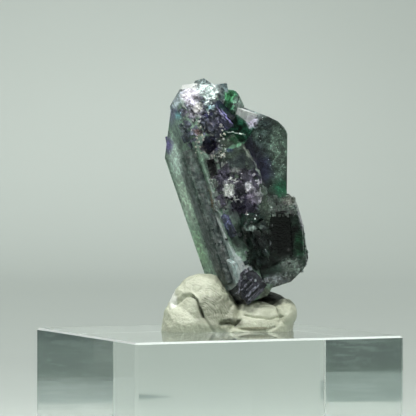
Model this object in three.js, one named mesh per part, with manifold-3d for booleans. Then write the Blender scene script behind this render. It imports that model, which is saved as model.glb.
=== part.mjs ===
// A cluster of fluorite crystals, held by a lump of putty on a square block of clear acrylic.
//
// The block stands in its own frame: origin at the middle of its underside, +Z up.
// The specimen has a frame of its own on top of the block, turned about Z: x runs to the
// specimen's right, y runs to its back and z runs up from the block's top.

import * as THREE from "three";
import Module from "manifold-3d";
import { mergeVertices } from "three/addons/utils/BufferGeometryUtils.js";

// Driving dimensions, in millimetres and degrees.
const BLOCK_SIDE = 50.8;
const BLOCK_HEIGHT = 25.4;
const BLOCK_CHAMFER = 0.35;
const SPECIMEN_AT = [1.3, 5.8];
const SPECIMEN_TURN = -23.5;
const GAP = 0.3;
const CUTTER_SIDE = 80;
const DRUSE_SEED = 11;
const RAY_START = 40;

// The large crystals. Each is a cuboid: its size across, front to back and up, the place of its
// middle, and its turn in degrees about x, y and z (z first). Its cuts are planes that take a
// corner or an end off, each a point on the plane and the direction that points out of the crystal.
const LARGE_CRYSTALS = {
  leaningSlab: {
    size: [7.4, 14.4, 39],
    at: [1.5, 0.8, 23.9],
    turn: [0, -19, 25],
    cuts: [
      { point: [-7.7, 2, 34.6], out: [-0.95, 0.1, 0.24] },
      { point: [-6.4, 2, 41], out: [-0.9, 0.1, 0.42] },
      { point: [3.0, -8, 6.2], out: [-0.75, -0.35, -0.65] },
    ],
  },
  slabStep: {
    size: [5.2, 3.4, 25],
    at: [1.1, -4.9, 21.2],
    turn: [0, -19, 25],
    cuts: [],
  },
  ridgeCrystal: {
    size: [3.6, 4.6, 22],
    at: [2.9, -5.4, 21.4],
    turn: [0, -19.5, 34],
    cuts: [{ point: [4.6, -8, 12.6], out: [0.5, -0.8, 0.3] }],
  },
  endCube: {
    size: [5.0, 6.6, 4.6],
    at: [6.6, -5.4, 8.2],
    turn: [8, -42, 20],
    cuts: [{ point: [5.8, -8.4, 8.2], out: [-0.85, -0.52, 0.12] }],
  },
  endLedge: {
    size: [4.0, 4.6, 6.4],
    at: [5.3, -5.0, 10.6],
    turn: [0, -22, 42],
    cuts: [{ point: [5.6, -7.8, 12.4], out: [0.1, -0.55, 0.83] }],
  },
  upperRightCube: {
    size: [11.0, 10.8, 17],
    at: [8.6, 2.6, 33.2],
    turn: [0, 0.5, -9],
    cuts: [
      { point: [12.6, 0, 38.4], out: [0.43, 0.05, 0.9] },
      { point: [14.0, 0, 37.3], out: [0.8, -0.1, 0.6] },
      { point: [6.8, -1.6, 38.6], out: [-0.28, -0.62, 0.73] },
      { point: [10, 8, 25.4], out: [0.1, 0.5, -0.86] },
    ],
  },
  ovalPlate: {
    size: [11, 4.2, 22],
    at: [5.4, -3.9, 24.6],
    turn: [3, -16, -10],
    cuts: [
      { point: [6.1, -3, 33.9], out: [0.78, 0, 0.62] },
      { point: [8.3, -3, 30.6], out: [0.86, 0, 0.5] },
      { point: [10.1, -3, 26.4], out: [0.96, 0, 0.28] },
      { point: [11.3, -3, 21.6], out: [0.99, 0, -0.08] },
      { point: [10.4, -3, 17.4], out: [0.86, 0, -0.5] },
    ],
  },
  middleMass: {
    size: [9, 9, 24],
    at: [5.2, 0.4, 25.6],
    turn: [0, -14, 8],
    cuts: [
      { point: [9.4, 0, 13], out: [0.8, 0, -0.6] },
      { point: [9, 0, 36.5], out: [0.5, 0, 0.86] },
    ],
  },
  lowerRightCube: {
    size: [11.0, 12, 17.4],
    at: [12.9, -0.4, 16.6],
    turn: [0, -3.5, -16],
    cuts: [
      { point: [15.1, 0, 24.8], out: [0.55, 0, 0.83] },
      { point: [16.5, 0, 22.4], out: [0.9, -0.1, 0.42] },
      { point: [13.2, -6.0, 22.2], out: [-0.05, -0.62, 0.78] },
      { point: [17.6, 0, 18.0], out: [0.98, 0, 0.16] },
      { point: [18.3, 0, 13.2], out: [0.9, 0, -0.42] },
      { point: [17.0, 0, 10.9], out: [0.72, 0, -0.7] },
      { point: [13.9, 0, 8.6], out: [0.3, 0, -0.95] },
      { point: [15.2, -6.4, 12.2], out: [0.3, -0.75, -0.58] },
      { point: [13, 6, 14], out: [0.1, 0.72, -0.68] },
    ],
  },
  lowerRightStep: {
    size: [6.2, 5.4, 9.6],
    at: [12.0, -4.6, 16.6],
    turn: [0, -6, -20],
    cuts: [{ point: [12, -7.2, 12.8], out: [0.25, -0.6, -0.76] }],
  },
  greenCube: {
    size: [4.4, 4.8, 4.8],
    at: [5.0, -3.9, 36.2],
    turn: [-12, 36, 14],
    cuts: [],
  },
  indigoCube: {
    size: [5.4, 5.8, 5.0],
    at: [1.4, -3.9, 38.5],
    turn: [10, -44, -14],
    cuts: [],
  },
  crownBlock: {
    size: [8.2, 9.5, 10.2],
    at: [-1.3, 0.2, 39.8],
    turn: [4, -8, 22],
    cuts: [
      { point: [-5.5, 0, 43.6], out: [-0.86, -0.1, 0.5] },
      { point: [-4.2, -3.8, 43.0], out: [-0.25, -0.78, 0.58] },
    ],
  },
  crownCube: {
    size: [5.2, 6.4, 5.2],
    at: [3.2, 0.2, 41.3],
    turn: [-8, 16, -12],
    cuts: [{ point: [5.9, 0, 42.6], out: [0.85, 0, 0.5] }],
  },
  greyCube: {
    size: [4.4, 4.8, 5.6],
    at: [5.7, -0.8, 38.6],
    turn: [6, 14, 24],
    cuts: [],
  },
  frostedPeak: {
    size: [4.2, 4.6, 4.4],
    at: [-2.7, -0.8, 43.0],
    turn: [-10, 12, 34],
    cuts: [{ point: [-5.2, 0, 44.6], out: [-0.8, 0, 0.6] }],
  },
  brokenShard: {
    size: [2.6, 3.6, 4.6],
    at: [-1.5, -0.8, 43.6],
    turn: [-18, 24, 30],
    cuts: [],
  },
  brokenTip: {
    size: [2.2, 3.0, 3.2],
    at: [0.4, -0.6, 42.7],
    turn: [14, -30, 10],
    cuts: [],
  },
  leftTooth: {
    size: [1.4, 4.0, 4.4],
    at: [-6.2, 3.4, 33.9],
    turn: [0, -10, 25],
    cuts: [],
  },
  backCube: {
    size: [9.5, 8.5, 10.5],
    at: [3.4, 5.2, 29.5],
    turn: [8, -14, 38],
    cuts: [],
  },
  backLowCube: {
    size: [8.2, 7.6, 9.4],
    at: [8.0, 4.2, 17.4],
    turn: [-6, -22, 28],
    cuts: [],
  },
  backHighCube: {
    size: [7.0, 6.8, 7.2],
    at: [0.9, 4.4, 38.0],
    turn: [12, -8, 20],
    cuts: [],
  },
  smallPrism: {
    size: [2.0, 2.2, 5.0],
    at: [3.9, -7.3, 19.6],
    turn: [4, -21, 36],
    cuts: [{ point: [2.9, -7, 21.6], out: [-0.2, -0.5, 0.84] }],
  },
  glassyCube: {
    size: [4.0, 3.2, 3.0],
    at: [7.9, -5.6, 20.3],
    turn: [16, 12, 20],
    cuts: [],
  },
  darkCube: {
    size: [5.6, 4.6, 6.2],
    at: [8.5, -3.8, 15.4],
    turn: [8, -20, -22],
    cuts: [],
  },
  lowerDarkCube: {
    size: [3.8, 4.0, 4.6],
    at: [8.6, -2.2, 11.4],
    turn: [-10, -30, 16],
    cuts: [],
  },
  stainedFoot: {
    size: [1.7, 3.6, 4.8],
    at: [10.3, 1.0, 7.9],
    turn: [0, 38, 10],
    cuts: [],
  },
};

// Hollows between the crystals: boxes that are cut out, with place and turn as above.
const HOLLOWS = [
  { size: [2.8, 4.0, 3.0], at: [-0.3, -6.6, 34.3], turn: [0, 30, 20] },
  { size: [1.5, 4.4, 3.6], at: [0.8, -7.2, 29.6], turn: [0, -14, 0] },
  { size: [2.4, 3.6, 2.0], at: [6.2, -7.2, 22.6], turn: [0, 20, 10] },
];

// Patches of small cubes grown on the large crystals. A patch is looked at from one side: its
// bearing is that side (0 is the front, 90 the right), across and up are its limits there.
// The cubes of a patch lie much as the crystal under them does, with a few degrees of scatter.
const DRUSE = [
  { bearing: 0, across: [2.4, 9.6], up: [22, 31], side: [0.8, 2.2], lie: [4, -22, -24], count: 42 },
  { bearing: 0, across: [-0.8, 3.0], up: [22, 34], side: [0.5, 1.3], lie: [0, -18, 40], count: 22 },
  { bearing: 0, across: [-3.6, 1.6], up: [34, 43], side: [0.6, 1.8], lie: [8, -30, 20], count: 34 },
  { bearing: 0, across: [6.0, 10.6], up: [11, 18], side: [0.8, 2.0], lie: [0, -24, 16], count: 16 },
  { bearing: 0, across: [11.4, 15.6], up: [20, 23], side: [0.5, 1.2], lie: [0, -4, -16], count: 10 },
  { bearing: 180, across: [-12, 1.5], up: [14, 40], side: [1.4, 3.6], lie: [6, -16, 32], count: 40 },
];
const DRUSE_SCATTER = 13;

// The putty: rounded lumps that are pressed together. Each is an ellipsoid of half-sizes
// across, front to back and up, with its middle and its turn, as for the crystals.
const PUTTY_LUMPS = [
  { half: [6.3, 6.2, 9.0], at: [-0.5, -3.2, 1.6], turn: [0, -5, 0] },
  { half: [5.8, 6.6, 5.6], at: [-2.9, -3.0, 0.6], turn: [0, 8, 0] },
  { half: [4.6, 6.4, 7.0], at: [-3.0, -2.0, 1.2], turn: [0, 14, 0] },
  { half: [9.2, 6.2, 4.6], at: [6.4, -3.0, 0.8], turn: [0, 2, 0] },
  { half: [3.0, 6.8, 6.0], at: [13.4, -0.6, 0.3], turn: [0, 8, 8] },
  { half: [7.2, 4.8, 6.4], at: [9.4, 5.0, 1.0], turn: [0, -4, 0] },
  { half: [6.6, 5.6, 6.0], at: [-0.4, 4.0, 1.2], turn: [0, 8, 0] },
];
const PUTTY_ROUND = [22, 14];
const PUTTY_RIPPLE = 0.22;
const PUTTY_FOLDS = [
  { size: [11, 1.4, 0.5], at: [10.4, -9.0, 3.0], turn: [0, 2, 4] },
  { size: [0.6, 2.6, 4.4], at: [-1.6, -9.2, 5.0], turn: [0, -28, 0] },
];

const wasm = await Module();
wasm.setup();
const { Manifold, Mesh } = wasm;

// A closed geometry as a solid that can be joined and cut.
function solidOf(geometry, matrix = new THREE.Matrix4()) {
  const bare = geometry.clone().applyMatrix4(matrix);
  bare.deleteAttribute("normal");
  bare.deleteAttribute("uv");
  const merged = mergeVertices(bare, 1e-4);
  return new Manifold(
    new Mesh({
      numProp: 3,
      vertProperties: new Float32Array(merged.attributes.position.array),
      triVerts: new Uint32Array(merged.index.array),
    }),
  );
}

// A solid as a three.js geometry with flat faces.
function geometryOf(solid) {
  const { vertProperties, triVerts } = solid.getMesh();
  const geometry = new THREE.BufferGeometry();
  geometry.setAttribute("position", new THREE.BufferAttribute(vertProperties, 3));
  geometry.setIndex(new THREE.BufferAttribute(triVerts, 1));
  const flat = geometry.toNonIndexed();
  flat.computeVertexNormals();
  return flat;
}

function placement(at, turn) {
  const angles = new THREE.Euler(...turn.map(THREE.MathUtils.degToRad), "XYZ");
  const rotation = new THREE.Quaternion().setFromEuler(angles);
  return new THREE.Matrix4().compose(
    new THREE.Vector3(...at),
    rotation,
    new THREE.Vector3(1, 1, 1),
  );
}

// The material beyond a plane, as one large box to subtract.
function beyond(point, out) {
  const normal = new THREE.Vector3(...out).normalize();
  const rotation = new THREE.Quaternion().setFromUnitVectors(new THREE.Vector3(0, 0, 1), normal);
  const middle = new THREE.Vector3(...point).addScaledVector(normal, CUTTER_SIDE / 2);
  const matrix = new THREE.Matrix4().compose(middle, rotation, new THREE.Vector3(1, 1, 1));
  return solidOf(new THREE.BoxGeometry(CUTTER_SIDE, CUTTER_SIDE, CUTTER_SIDE), matrix);
}

// One crystal. With grow, every face stands that much further out.
function crystal({ size, at, turn, cuts = [] }, grow = 0) {
  const sides = size.map((side) => side + 2 * grow);
  let solid = solidOf(new THREE.BoxGeometry(...sides), placement(at, turn));
  for (const { point, out } of cuts) {
    const normal = new THREE.Vector3(...out).normalize();
    const moved = new THREE.Vector3(...point).addScaledVector(normal, grow);
    solid = solid.subtract(beyond(moved.toArray(), out));
  }
  return solid;
}

function joined(solids) {
  return solids.reduce((whole, solid) => whole.add(solid));
}

// The largest closed skin of a solid alone, with loose crumbs and sealed pockets gone.
function outerSkin(solid) {
  const skins = solid.decompose();
  return skins.reduce((best, skin) => (skin.volume() > best.volume() ? skin : best));
}

// Numbers between 0 and 1 that are the same on every run.
function randomNumbers(seed) {
  let state = seed;
  return () => {
    state = (state + 0x6d2b79f5) | 0;
    let mixed = Math.imul(state ^ (state >>> 15), 1 | state);
    mixed = (mixed + Math.imul(mixed ^ (mixed >>> 7), 61 | mixed)) ^ mixed;
    return ((mixed ^ (mixed >>> 14)) >>> 0) / 4294967296;
  };
}

// Small cubes on the surface of the large crystals, each sunk by part of its side.
function druse(host) {
  const random = randomNumbers(DRUSE_SEED);
  const between = ([low, high]) => low + (high - low) * random();
  const surface = new THREE.Mesh(
    geometryOf(host),
    new THREE.MeshBasicMaterial({ side: THREE.DoubleSide }),
  );
  const axis = new THREE.Vector3(0, 0, 1);
  const cubes = [];
  for (const { bearing, across, up, side, lie, count } of DRUSE) {
    for (let i = 0; i < count; i += 1) {
      const angle = THREE.MathUtils.degToRad(bearing);
      const start = new THREE.Vector3(between(across), -RAY_START, between(up));
      start.applyAxisAngle(axis, angle);
      const inward = new THREE.Vector3(0, 1, 0).applyAxisAngle(axis, angle);
      const edge = between(side);
      const turn = lie.map((degrees) => degrees + between([-DRUSE_SCATTER, DRUSE_SCATTER]));
      const hit = new THREE.Raycaster(start, inward).intersectObject(surface)[0];
      if (!hit) continue;
      const at = hit.point.addScaledVector(inward, edge * between([0, 0.35]));
      const sides = [edge, edge * between([0.7, 1.2]), edge * between([0.7, 1.5])];
      cubes.push(crystal({ size: sides, at: at.toArray(), turn }));
    }
  }
  return cubes;
}

function makeCluster() {
  const host = joined(Object.values(LARGE_CRYSTALS).map((spec) => crystal(spec)));
  const hollowed = HOLLOWS.reduce((solid, hollow) => solid.subtract(crystal(hollow)), host);
  return outerSkin(joined([hollowed, ...druse(hollowed)]));
}

// A lump of putty: a sphere with a slow ripple, stretched to its half-sizes.
function lump({ half, at, turn }) {
  const geometry = new THREE.SphereGeometry(1, ...PUTTY_ROUND);
  const points = geometry.attributes.position;
  const point = new THREE.Vector3();
  for (let i = 0; i < points.count; i += 1) {
    point.fromBufferAttribute(points, i).multiply(new THREE.Vector3(...half));
    const ripple = Math.sin(0.9 * point.x + at[0]) * Math.sin(0.8 * point.z + 0.7 * point.y);
    point.multiplyScalar(1 + (PUTTY_RIPPLE * ripple) / Math.max(...half));
    points.setXYZ(i, point.x, point.y, point.z);
  }
  return solidOf(geometry, placement(at, turn));
}

function makePutty() {
  const room = joined(Object.values(LARGE_CRYSTALS).map((spec) => crystal(spec, GAP)));
  const lumps = joined(PUTTY_LUMPS.map(lump));
  const foot = beyond([0, 0, GAP], [0, 0, -1]);
  const folds = PUTTY_FOLDS.map((fold) => crystal(fold));
  const pressed = lumps.subtract(foot).subtract(room);
  return outerSkin(folds.reduce((solid, fold) => solid.subtract(fold), pressed));
}

// The block: a square with its corners cut, extruded with a bevel of the same width.
function makeBlock() {
  const flat = BLOCK_SIDE / 2 - BLOCK_CHAMFER;
  const cut = flat - BLOCK_CHAMFER;
  const outline = new THREE.Shape();
  outline.moveTo(-cut, -flat);
  outline.lineTo(cut, -flat);
  outline.lineTo(flat, -cut);
  outline.lineTo(flat, cut);
  outline.lineTo(cut, flat);
  outline.lineTo(-cut, flat);
  outline.lineTo(-flat, cut);
  outline.lineTo(-flat, -cut);
  outline.closePath();
  const geometry = new THREE.ExtrudeGeometry(outline, {
    depth: BLOCK_HEIGHT - 2 * BLOCK_CHAMFER,
    bevelEnabled: true,
    bevelThickness: BLOCK_CHAMFER,
    bevelSize: BLOCK_CHAMFER,
    bevelSegments: 1,
    curveSegments: 1,
  });
  return geometry.translate(0, 0, BLOCK_CHAMFER);
}

function namedMesh(name, geometry, material) {
  const mesh = new THREE.Mesh(geometry, material);
  mesh.name = name;
  return mesh;
}

const clearAcrylic = new THREE.MeshStandardMaterial({
  color: 0xc9d3cf,
  roughness: 0.05,
  metalness: 0,
  transparent: true,
  opacity: 0.35,
});
const greenFluorite = new THREE.MeshStandardMaterial({
  color: 0x3f5a4c,
  roughness: 0.25,
  metalness: 0,
});
const palePutty = new THREE.MeshStandardMaterial({
  color: 0xb5b8a4,
  roughness: 0.8,
  metalness: 0,
});

const specimen = new THREE.Group();
specimen.position.set(SPECIMEN_AT[0], SPECIMEN_AT[1], BLOCK_HEIGHT);
specimen.rotation.z = THREE.MathUtils.degToRad(SPECIMEN_TURN);
specimen.add(namedMesh("putty", geometryOf(makePutty()), palePutty));
specimen.add(namedMesh("fluorite_cluster", geometryOf(makeCluster()), greenFluorite));

const display = new THREE.Group();
display.add(namedMesh("acrylic_block", makeBlock(), clearAcrylic));
display.add(specimen);

export default display;
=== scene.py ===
# %% [markdown]
# # A fluorite cluster on putty and a clear block
# A collector's display piece: a cluster of intergrown green and purple fluorite crystals, pressed
# into a lump of mineral putty, on a square block of polished acrylic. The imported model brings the
# three solids at their real size, so this lesson loads it first and dresses it piece by piece.

import math
import random

import bmesh
import bpy
from mathutils import Matrix, Vector, noise
from mathutils.bvhtree import BVHTree


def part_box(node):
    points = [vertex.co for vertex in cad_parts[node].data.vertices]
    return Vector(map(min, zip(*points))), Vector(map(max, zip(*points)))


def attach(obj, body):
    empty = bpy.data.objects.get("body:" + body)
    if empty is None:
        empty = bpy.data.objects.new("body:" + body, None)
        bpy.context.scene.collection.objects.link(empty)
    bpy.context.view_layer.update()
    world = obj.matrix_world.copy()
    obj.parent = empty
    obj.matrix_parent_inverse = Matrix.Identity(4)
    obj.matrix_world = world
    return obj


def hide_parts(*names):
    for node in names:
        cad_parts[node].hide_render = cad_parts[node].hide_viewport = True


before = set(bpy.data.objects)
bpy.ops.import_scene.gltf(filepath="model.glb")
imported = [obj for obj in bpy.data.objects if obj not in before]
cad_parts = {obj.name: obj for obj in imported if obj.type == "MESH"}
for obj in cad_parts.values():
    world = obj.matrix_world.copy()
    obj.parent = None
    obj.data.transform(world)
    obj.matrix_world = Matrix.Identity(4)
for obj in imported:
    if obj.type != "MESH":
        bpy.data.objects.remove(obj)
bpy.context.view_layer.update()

# %% [markdown]
# ## Two frames and one unit
# Blender works in metres, but crystals are thought of in millimetres, so the crystals and the
# putty are modelled in millimetres and shrunk once at the end. The specimen stands turned on its
# block. Its own frame has x to the specimen's right, y to its back and z up from the block's top,
# and one matrix takes a finished piece from there to its place.

# %% Specimen frame
MM = 0.001
SPECIMEN_AT = (1.3, 5.8)
SPECIMEN_TURN = math.radians(-23.5)
block_low, block_high = (Vector(corner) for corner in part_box("acrylic_block"))
block_top = block_high.z
to_row = (
    Matrix.Translation((SPECIMEN_AT[0] * MM, SPECIMEN_AT[1] * MM, block_top))
    @ Matrix.Rotation(SPECIMEN_TURN, 4, "Z")
    @ Matrix.Scale(MM, 4)
)
print("block top at", round(block_top / MM, 2), "mm")

# %% [markdown]
# ## Camera
# The picture is taken level, from a little above the block's top, with a long lens that keeps the
# block's edges nearly parallel. The lens and the distance come from how far apart the four top
# corners of a 50.8 mm block stand in the picture.

# %% Camera
SENSOR_WIDTH = 36.0
LENS = 190.3
CAMERA_DISTANCE = 400.2
CAMERA_ABOVE_BLOCK = 22.5
CAMERA_LEFT = 1.13
right_way = Vector((math.cos(SPECIMEN_TURN), math.sin(SPECIMEN_TURN), 0.0))
view_way = Vector((-math.sin(SPECIMEN_TURN), math.cos(SPECIMEN_TURN), 0.0))

camera_data = bpy.data.cameras.new("camera")
camera_data.sensor_width = SENSOR_WIDTH
camera_data.lens = LENS
camera = bpy.data.objects.new("camera", camera_data)
camera.location = -view_way * CAMERA_DISTANCE * MM - right_way * CAMERA_LEFT * MM
camera.location.z = block_top + CAMERA_ABOVE_BLOCK * MM
camera.rotation_euler = (math.pi / 2, 0.0, SPECIMEN_TURN)
bpy.context.scene.collection.objects.link(camera)
bpy.context.scene.camera = camera
print("camera at", [round(value / MM) for value in camera.location], "mm")

# %% [markdown]
# ## Helpers
# Colours are written as the hex values that a painting program shows and turned to linear light
# by one function. Another adds a shader node with its settings and links. The rest start a
# material, turn a bmesh into an object whose place is in its mesh, and put it in the scene.

# %% Helpers
def linear(hex_colour):
    """An sRGB hex colour as linear red, green, blue and alpha."""
    parts = [int(hex_colour[i : i + 2], 16) / 255 for i in (1, 3, 5)]
    bent = [((part + 0.055) / 1.055) ** 2.4 if part > 0.04045 else part / 12.92 for part in parts]
    return (*bent, 1.0)


def add(tree, kind, links=None, **settings):
    """A new node of this kind. Links holds a value or another node's socket for each input."""
    node = tree.nodes.new(kind)
    for name, value in settings.items():
        setattr(node, name, value)
    for name, value in (links or {}).items():
        if isinstance(value, bpy.types.NodeSocket):
            tree.links.new(value, node.inputs[name])
        else:
            node.inputs[name].default_value = value
    return node


def new_material(name):
    """A material with a Principled shader, its tree and that shader."""
    material = bpy.data.materials.new(name)
    material.use_nodes = True
    tree = material.node_tree
    return material, tree, tree.nodes["Principled BSDF"]


def object_from(bm, name, place=None):
    """An object at the origin with the bmesh as its mesh, moved by the place matrix."""
    if place is not None:
        bmesh.ops.transform(bm, matrix=place, verts=bm.verts)
    mesh = bpy.data.meshes.new(name)
    bm.to_mesh(mesh)
    bm.free()
    return bpy.data.objects.new(name, mesh)


def show(item):
    """Puts an object in the scene."""
    bpy.context.scene.collection.objects.link(item)
    return item


print("mid grey in linear light:", round(linear("#808080")[0], 3))

# %% [markdown]
# ## Stage
# The backdrop is one pale sheet that runs flat under the block and then curves up far behind it,
# so that no horizon line shows. It is an edge that is spun through a quarter turn, with a floor
# and a wall extruded from its two ends. A world colour could stand for it, but then the block
# would have nothing to bend and mirror, and nothing would take the specimen's shade. The sheet lies
# a tenth of a millimetre below the block, because that film of air is what turns the underside of
# a clear block into a mirror. The paper is matt, and a soft shadow round the block is painted on
# it as a darker tone.

# %% Backdrop sheet
SHEET_HALF_WIDTH = 6.0
SHEET_CURVE = 1.6
SHEET_BEHIND = 1.2
SHEET_FLOOR = 8.0
SHEET_WALL = 5.0
SHEET_STEPS = 24
AIR_FILM = 0.0001

bm = bmesh.new()
ends = [bm.verts.new((side * SHEET_HALF_WIDTH, SHEET_BEHIND, 0.0)) for side in (-1, 1)]
edge = bm.edges.new(ends)
curve = bmesh.ops.spin(
    bm, geom=[edge, *ends], cent=(0, SHEET_BEHIND, SHEET_CURVE), axis=(1, 0, 0),
    angle=math.pi / 2, steps=SHEET_STEPS, use_merge=False,
)
last = [item for item in curve["geom_last"] if isinstance(item, bmesh.types.BMEdge)]
for start, way in ((edge, (0, -SHEET_FLOOR, 0)), (last[0], (0, 0, SHEET_WALL))):
    grown = bmesh.ops.extrude_edge_only(bm, edges=[start])
    tips = [item for item in grown["geom"] if isinstance(item, bmesh.types.BMVert)]
    bmesh.ops.translate(bm, vec=way, verts=tips)
bmesh.ops.recalc_face_normals(bm, faces=bm.faces)
sheet_place = Matrix.Translation((0, 0, -AIR_FILM)) @ Matrix.Rotation(SPECIMEN_TURN, 4, "Z")
sheet = show(object_from(bm, "backdrop", sheet_place))
for polygon in sheet.data.polygons:
    polygon.use_smooth = True
print("backdrop:", len(sheet.data.polygons), "faces")

# %% Backdrop paper
PAPER_TONES = ("#c3cbc4", "#c8d0ca")
PAPER_PER_METRE = 3.0
PAPER_ROUGHNESS = 0.85
# a painted shadow round the block: its tone, full within the first distance in metres and gone beyond
# the second
BLOCK_SHADOW_TONE = "#b6beb8"
BLOCK_SHADOW_RADIUS = (0.17, 0.34)

paper, tree, shader = new_material("pale_backdrop_paper")
place = add(tree, "ShaderNodeTexCoord")
mottle = add(
    tree, "ShaderNodeTexNoise", {"Vector": place.outputs["Object"], "Scale": PAPER_PER_METRE}
)
tone = add(
    tree, "ShaderNodeMix",
    {"Factor": mottle.outputs["Fac"], "A": linear(PAPER_TONES[0]), "B": linear(PAPER_TONES[1])},
    data_type="RGBA",
)
from_block = add(tree, "ShaderNodeVectorMath", {0: place.outputs["Object"]}, operation="LENGTH")
# the painted shadow: the paper is darker the nearer it lies to the block
block_shadow = add(
    tree, "ShaderNodeMapRange",
    {"Value": from_block.outputs["Value"], "From Min": BLOCK_SHADOW_RADIUS[0], "From Max": BLOCK_SHADOW_RADIUS[1]},
)
tone = add(
    tree, "ShaderNodeMix",
    {"Factor": block_shadow.outputs["Result"], "A": linear(BLOCK_SHADOW_TONE), "B": tone.outputs["Result"]},
    data_type="RGBA",
)
tree.links.new(tone.outputs["Result"], shader.inputs["Base Color"])
shader.inputs["Roughness"].default_value = PAPER_ROUGHNESS
sheet.data.materials.append(paper)
print("paper:", *PAPER_TONES, "and", BLOCK_SHADOW_TONE, "round the block")

# %% [markdown]
# ## Light
# A very wide soft light hangs high over the whole sheet, so that the floor and the backdrop are
# equally pale. A weak one to the left models the specimen, and a small lamp close to the sheet
# brightens it left of the middle. Two small bright ones put sparks on the glassy faces, one from
# above the camera and one from the right.

# %% Lights
# each light's place, what it faces, its side in metres, its watts and its spread in degrees
LIGHTS = {
    "overhead": ((-0.3, 0.5, 2.2), (-0.1, 0.4, 0), 2.4, 31.0, 180),
    "left": ((-0.7, -0.25, 0.6), (0, 0, 0.05), 0.45, 0.6, 90),
    "backdrop": ((-0.12, 1.53, 0.68), (-0.12, 2.02, 0.15), 0.1, 1.4, 180),
    "spark": ((-0.1, -0.38, 0.8), (0, 0, 0.05), 0.08, 0.13, 30),
    "spark_right": ((0.35, -0.3, 0.5), (0, 0, 0.05), 0.04, 0.04, 30),
}
to_stage = Matrix.Rotation(SPECIMEN_TURN, 3, "Z")
for name, (stand, target, side, watts, spread) in LIGHTS.items():
    data = bpy.data.lights.new(name, "AREA")
    data.size = side
    data.energy = watts
    data.spread = math.radians(spread)
    lamp = show(bpy.data.objects.new(name, data))
    lamp.location = to_stage @ Vector(stand)
    aim = to_stage @ Vector(target)
    lamp.rotation_euler = (aim - lamp.location).to_track_quat("-Z", "Y").to_euler()
bpy.context.scene.view_settings.view_transform = "Standard"
print("lights:", ", ".join(LIGHTS))

# %% [markdown]
# Everything that no lamp reaches is lit by a dome: dim at the height of the eye and paler
# overhead. It is dim in front of the specimen too, which makes the crystals look deep and dark.

# %% Dome
DOME_LOW = "#565c59"
DOME_HIGH = "#d4dcd8"
DOME_HIGH_AT = 0.8
DOME_STRENGTH = 0.6

world = bpy.data.worlds.new("studio")
bpy.context.scene.world = world
world.use_nodes = True
tree = world.node_tree
way = add(tree, "ShaderNodeTexCoord")
parts = add(tree, "ShaderNodeSeparateXYZ", {"Vector": way.outputs["Generated"]})
dome = add(tree, "ShaderNodeValToRGB", {"Fac": parts.outputs["Z"]})
low, high = dome.color_ramp.elements
low.position = 0.0
low.color = linear(DOME_LOW)
high.position = DOME_HIGH_AT
high.color = linear(DOME_HIGH)
background = tree.nodes["Background"]
tree.links.new(dome.outputs["Color"], background.inputs["Color"])
background.inputs["Strength"].default_value = DOME_STRENGTH
print("dome:", DOME_LOW, "to", DOME_HIGH)

# %% [markdown]
# ## Dark cards
# Clear acrylic mirrors what stands round it in its inner faces, and its ends only look like clear
# plastic when a part of that is dark. So two dark cards stand on the sheet, one to the left behind
# the block and one to the right in front of it. They are low, so that its top doesn't mirror them,
# and each has a foot that lies on the sheet. They fade towards the floor and have faint streaks and
# grit, so that the block's ends aren't one flat grey. The camera doesn't see them, and they cast no
# shadow and no light on matt surfaces.

# %% Card paper
CARD_DARK = "#4f5c60"
CARD_FADED = "#8a9892"
CARD_STREAK = "#9daaa6"
FADE_PER_METRE = 26.0
FADE_SWAY = 0.034
FADE_HEIGHT = (0.018, 0.034)
RIPPLE_PER_METRE = 70.0
GRIT_PER_METRE = 900.0
GRIT_SHARE = 0.4

card_paper, tree, shader = new_material("dark_card")
place = add(tree, "ShaderNodeTexCoord")
height = add(tree, "ShaderNodeSeparateXYZ", {"Vector": place.outputs["Object"]})
level = add(tree, "ShaderNodeMapping", {"Vector": place.outputs["Object"], "Scale": (1, 1, 4)})
fade = add(
    tree, "ShaderNodeTexNoise",
    {"Vector": level.outputs["Vector"], "Scale": FADE_PER_METRE, "Detail": 3.0},
)
rise = add(
    tree, "ShaderNodeMath", {0: fade.outputs["Fac"], 1: FADE_SWAY, 2: height.outputs["Z"]},
    operation="MULTIPLY_ADD",
)
lift = add(
    tree, "ShaderNodeMapRange",
    {"Value": rise.outputs["Value"], "From Min": FADE_HEIGHT[0], "From Max": FADE_HEIGHT[1]},
)
tone = add(
    tree, "ShaderNodeMix",
    {"Factor": lift.outputs["Result"], "A": linear(CARD_FADED), "B": linear(CARD_DARK)},
    data_type="RGBA",
)
grit = add(
    tree, "ShaderNodeTexNoise",
    {"Vector": place.outputs["Object"], "Scale": GRIT_PER_METRE, "Detail": 2.0},
)
flat = add(tree, "ShaderNodeMapping", {"Vector": place.outputs["Object"], "Scale": (1, 1, 7)})
ripple = add(
    tree, "ShaderNodeTexNoise",
    {"Vector": flat.outputs["Vector"], "Scale": RIPPLE_PER_METRE, "Detail": 3.0, "Distortion": 1.0},
)
marks = add(
    tree, "ShaderNodeMath", {0: grit.outputs["Fac"], 1: GRIT_SHARE, 2: ripple.outputs["Fac"]},
    operation="MULTIPLY_ADD",
)
pale = add(
    tree, "ShaderNodeMapRange",
    {"Value": marks.outputs["Value"], "From Min": 0.7, "From Max": 0.84, "To Min": 0.0, "To Max": 0.9},
)
tone = add(
    tree, "ShaderNodeMix",
    {"Factor": pale.outputs["Result"], "A": tone.outputs["Result"], "B": linear(CARD_STREAK)},
    data_type="RGBA",
)
tree.links.new(tone.outputs["Result"], shader.inputs["Base Color"])
print("card paper:", CARD_FADED, "below", CARD_DARK)

# %% Cards
# each card's middle, its width and height, its turn in degrees and how far its foot reaches
CARDS = {
    "card_left_behind": ((-0.165, 0.175, 0.015), (0.20, 0.03), 43.0, -0.11),
    "card_right_front": ((0.135, -0.113, 0.015), (0.15, 0.03), 43.0, 0.08),
}
CARD_LIFT = 0.001

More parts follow.
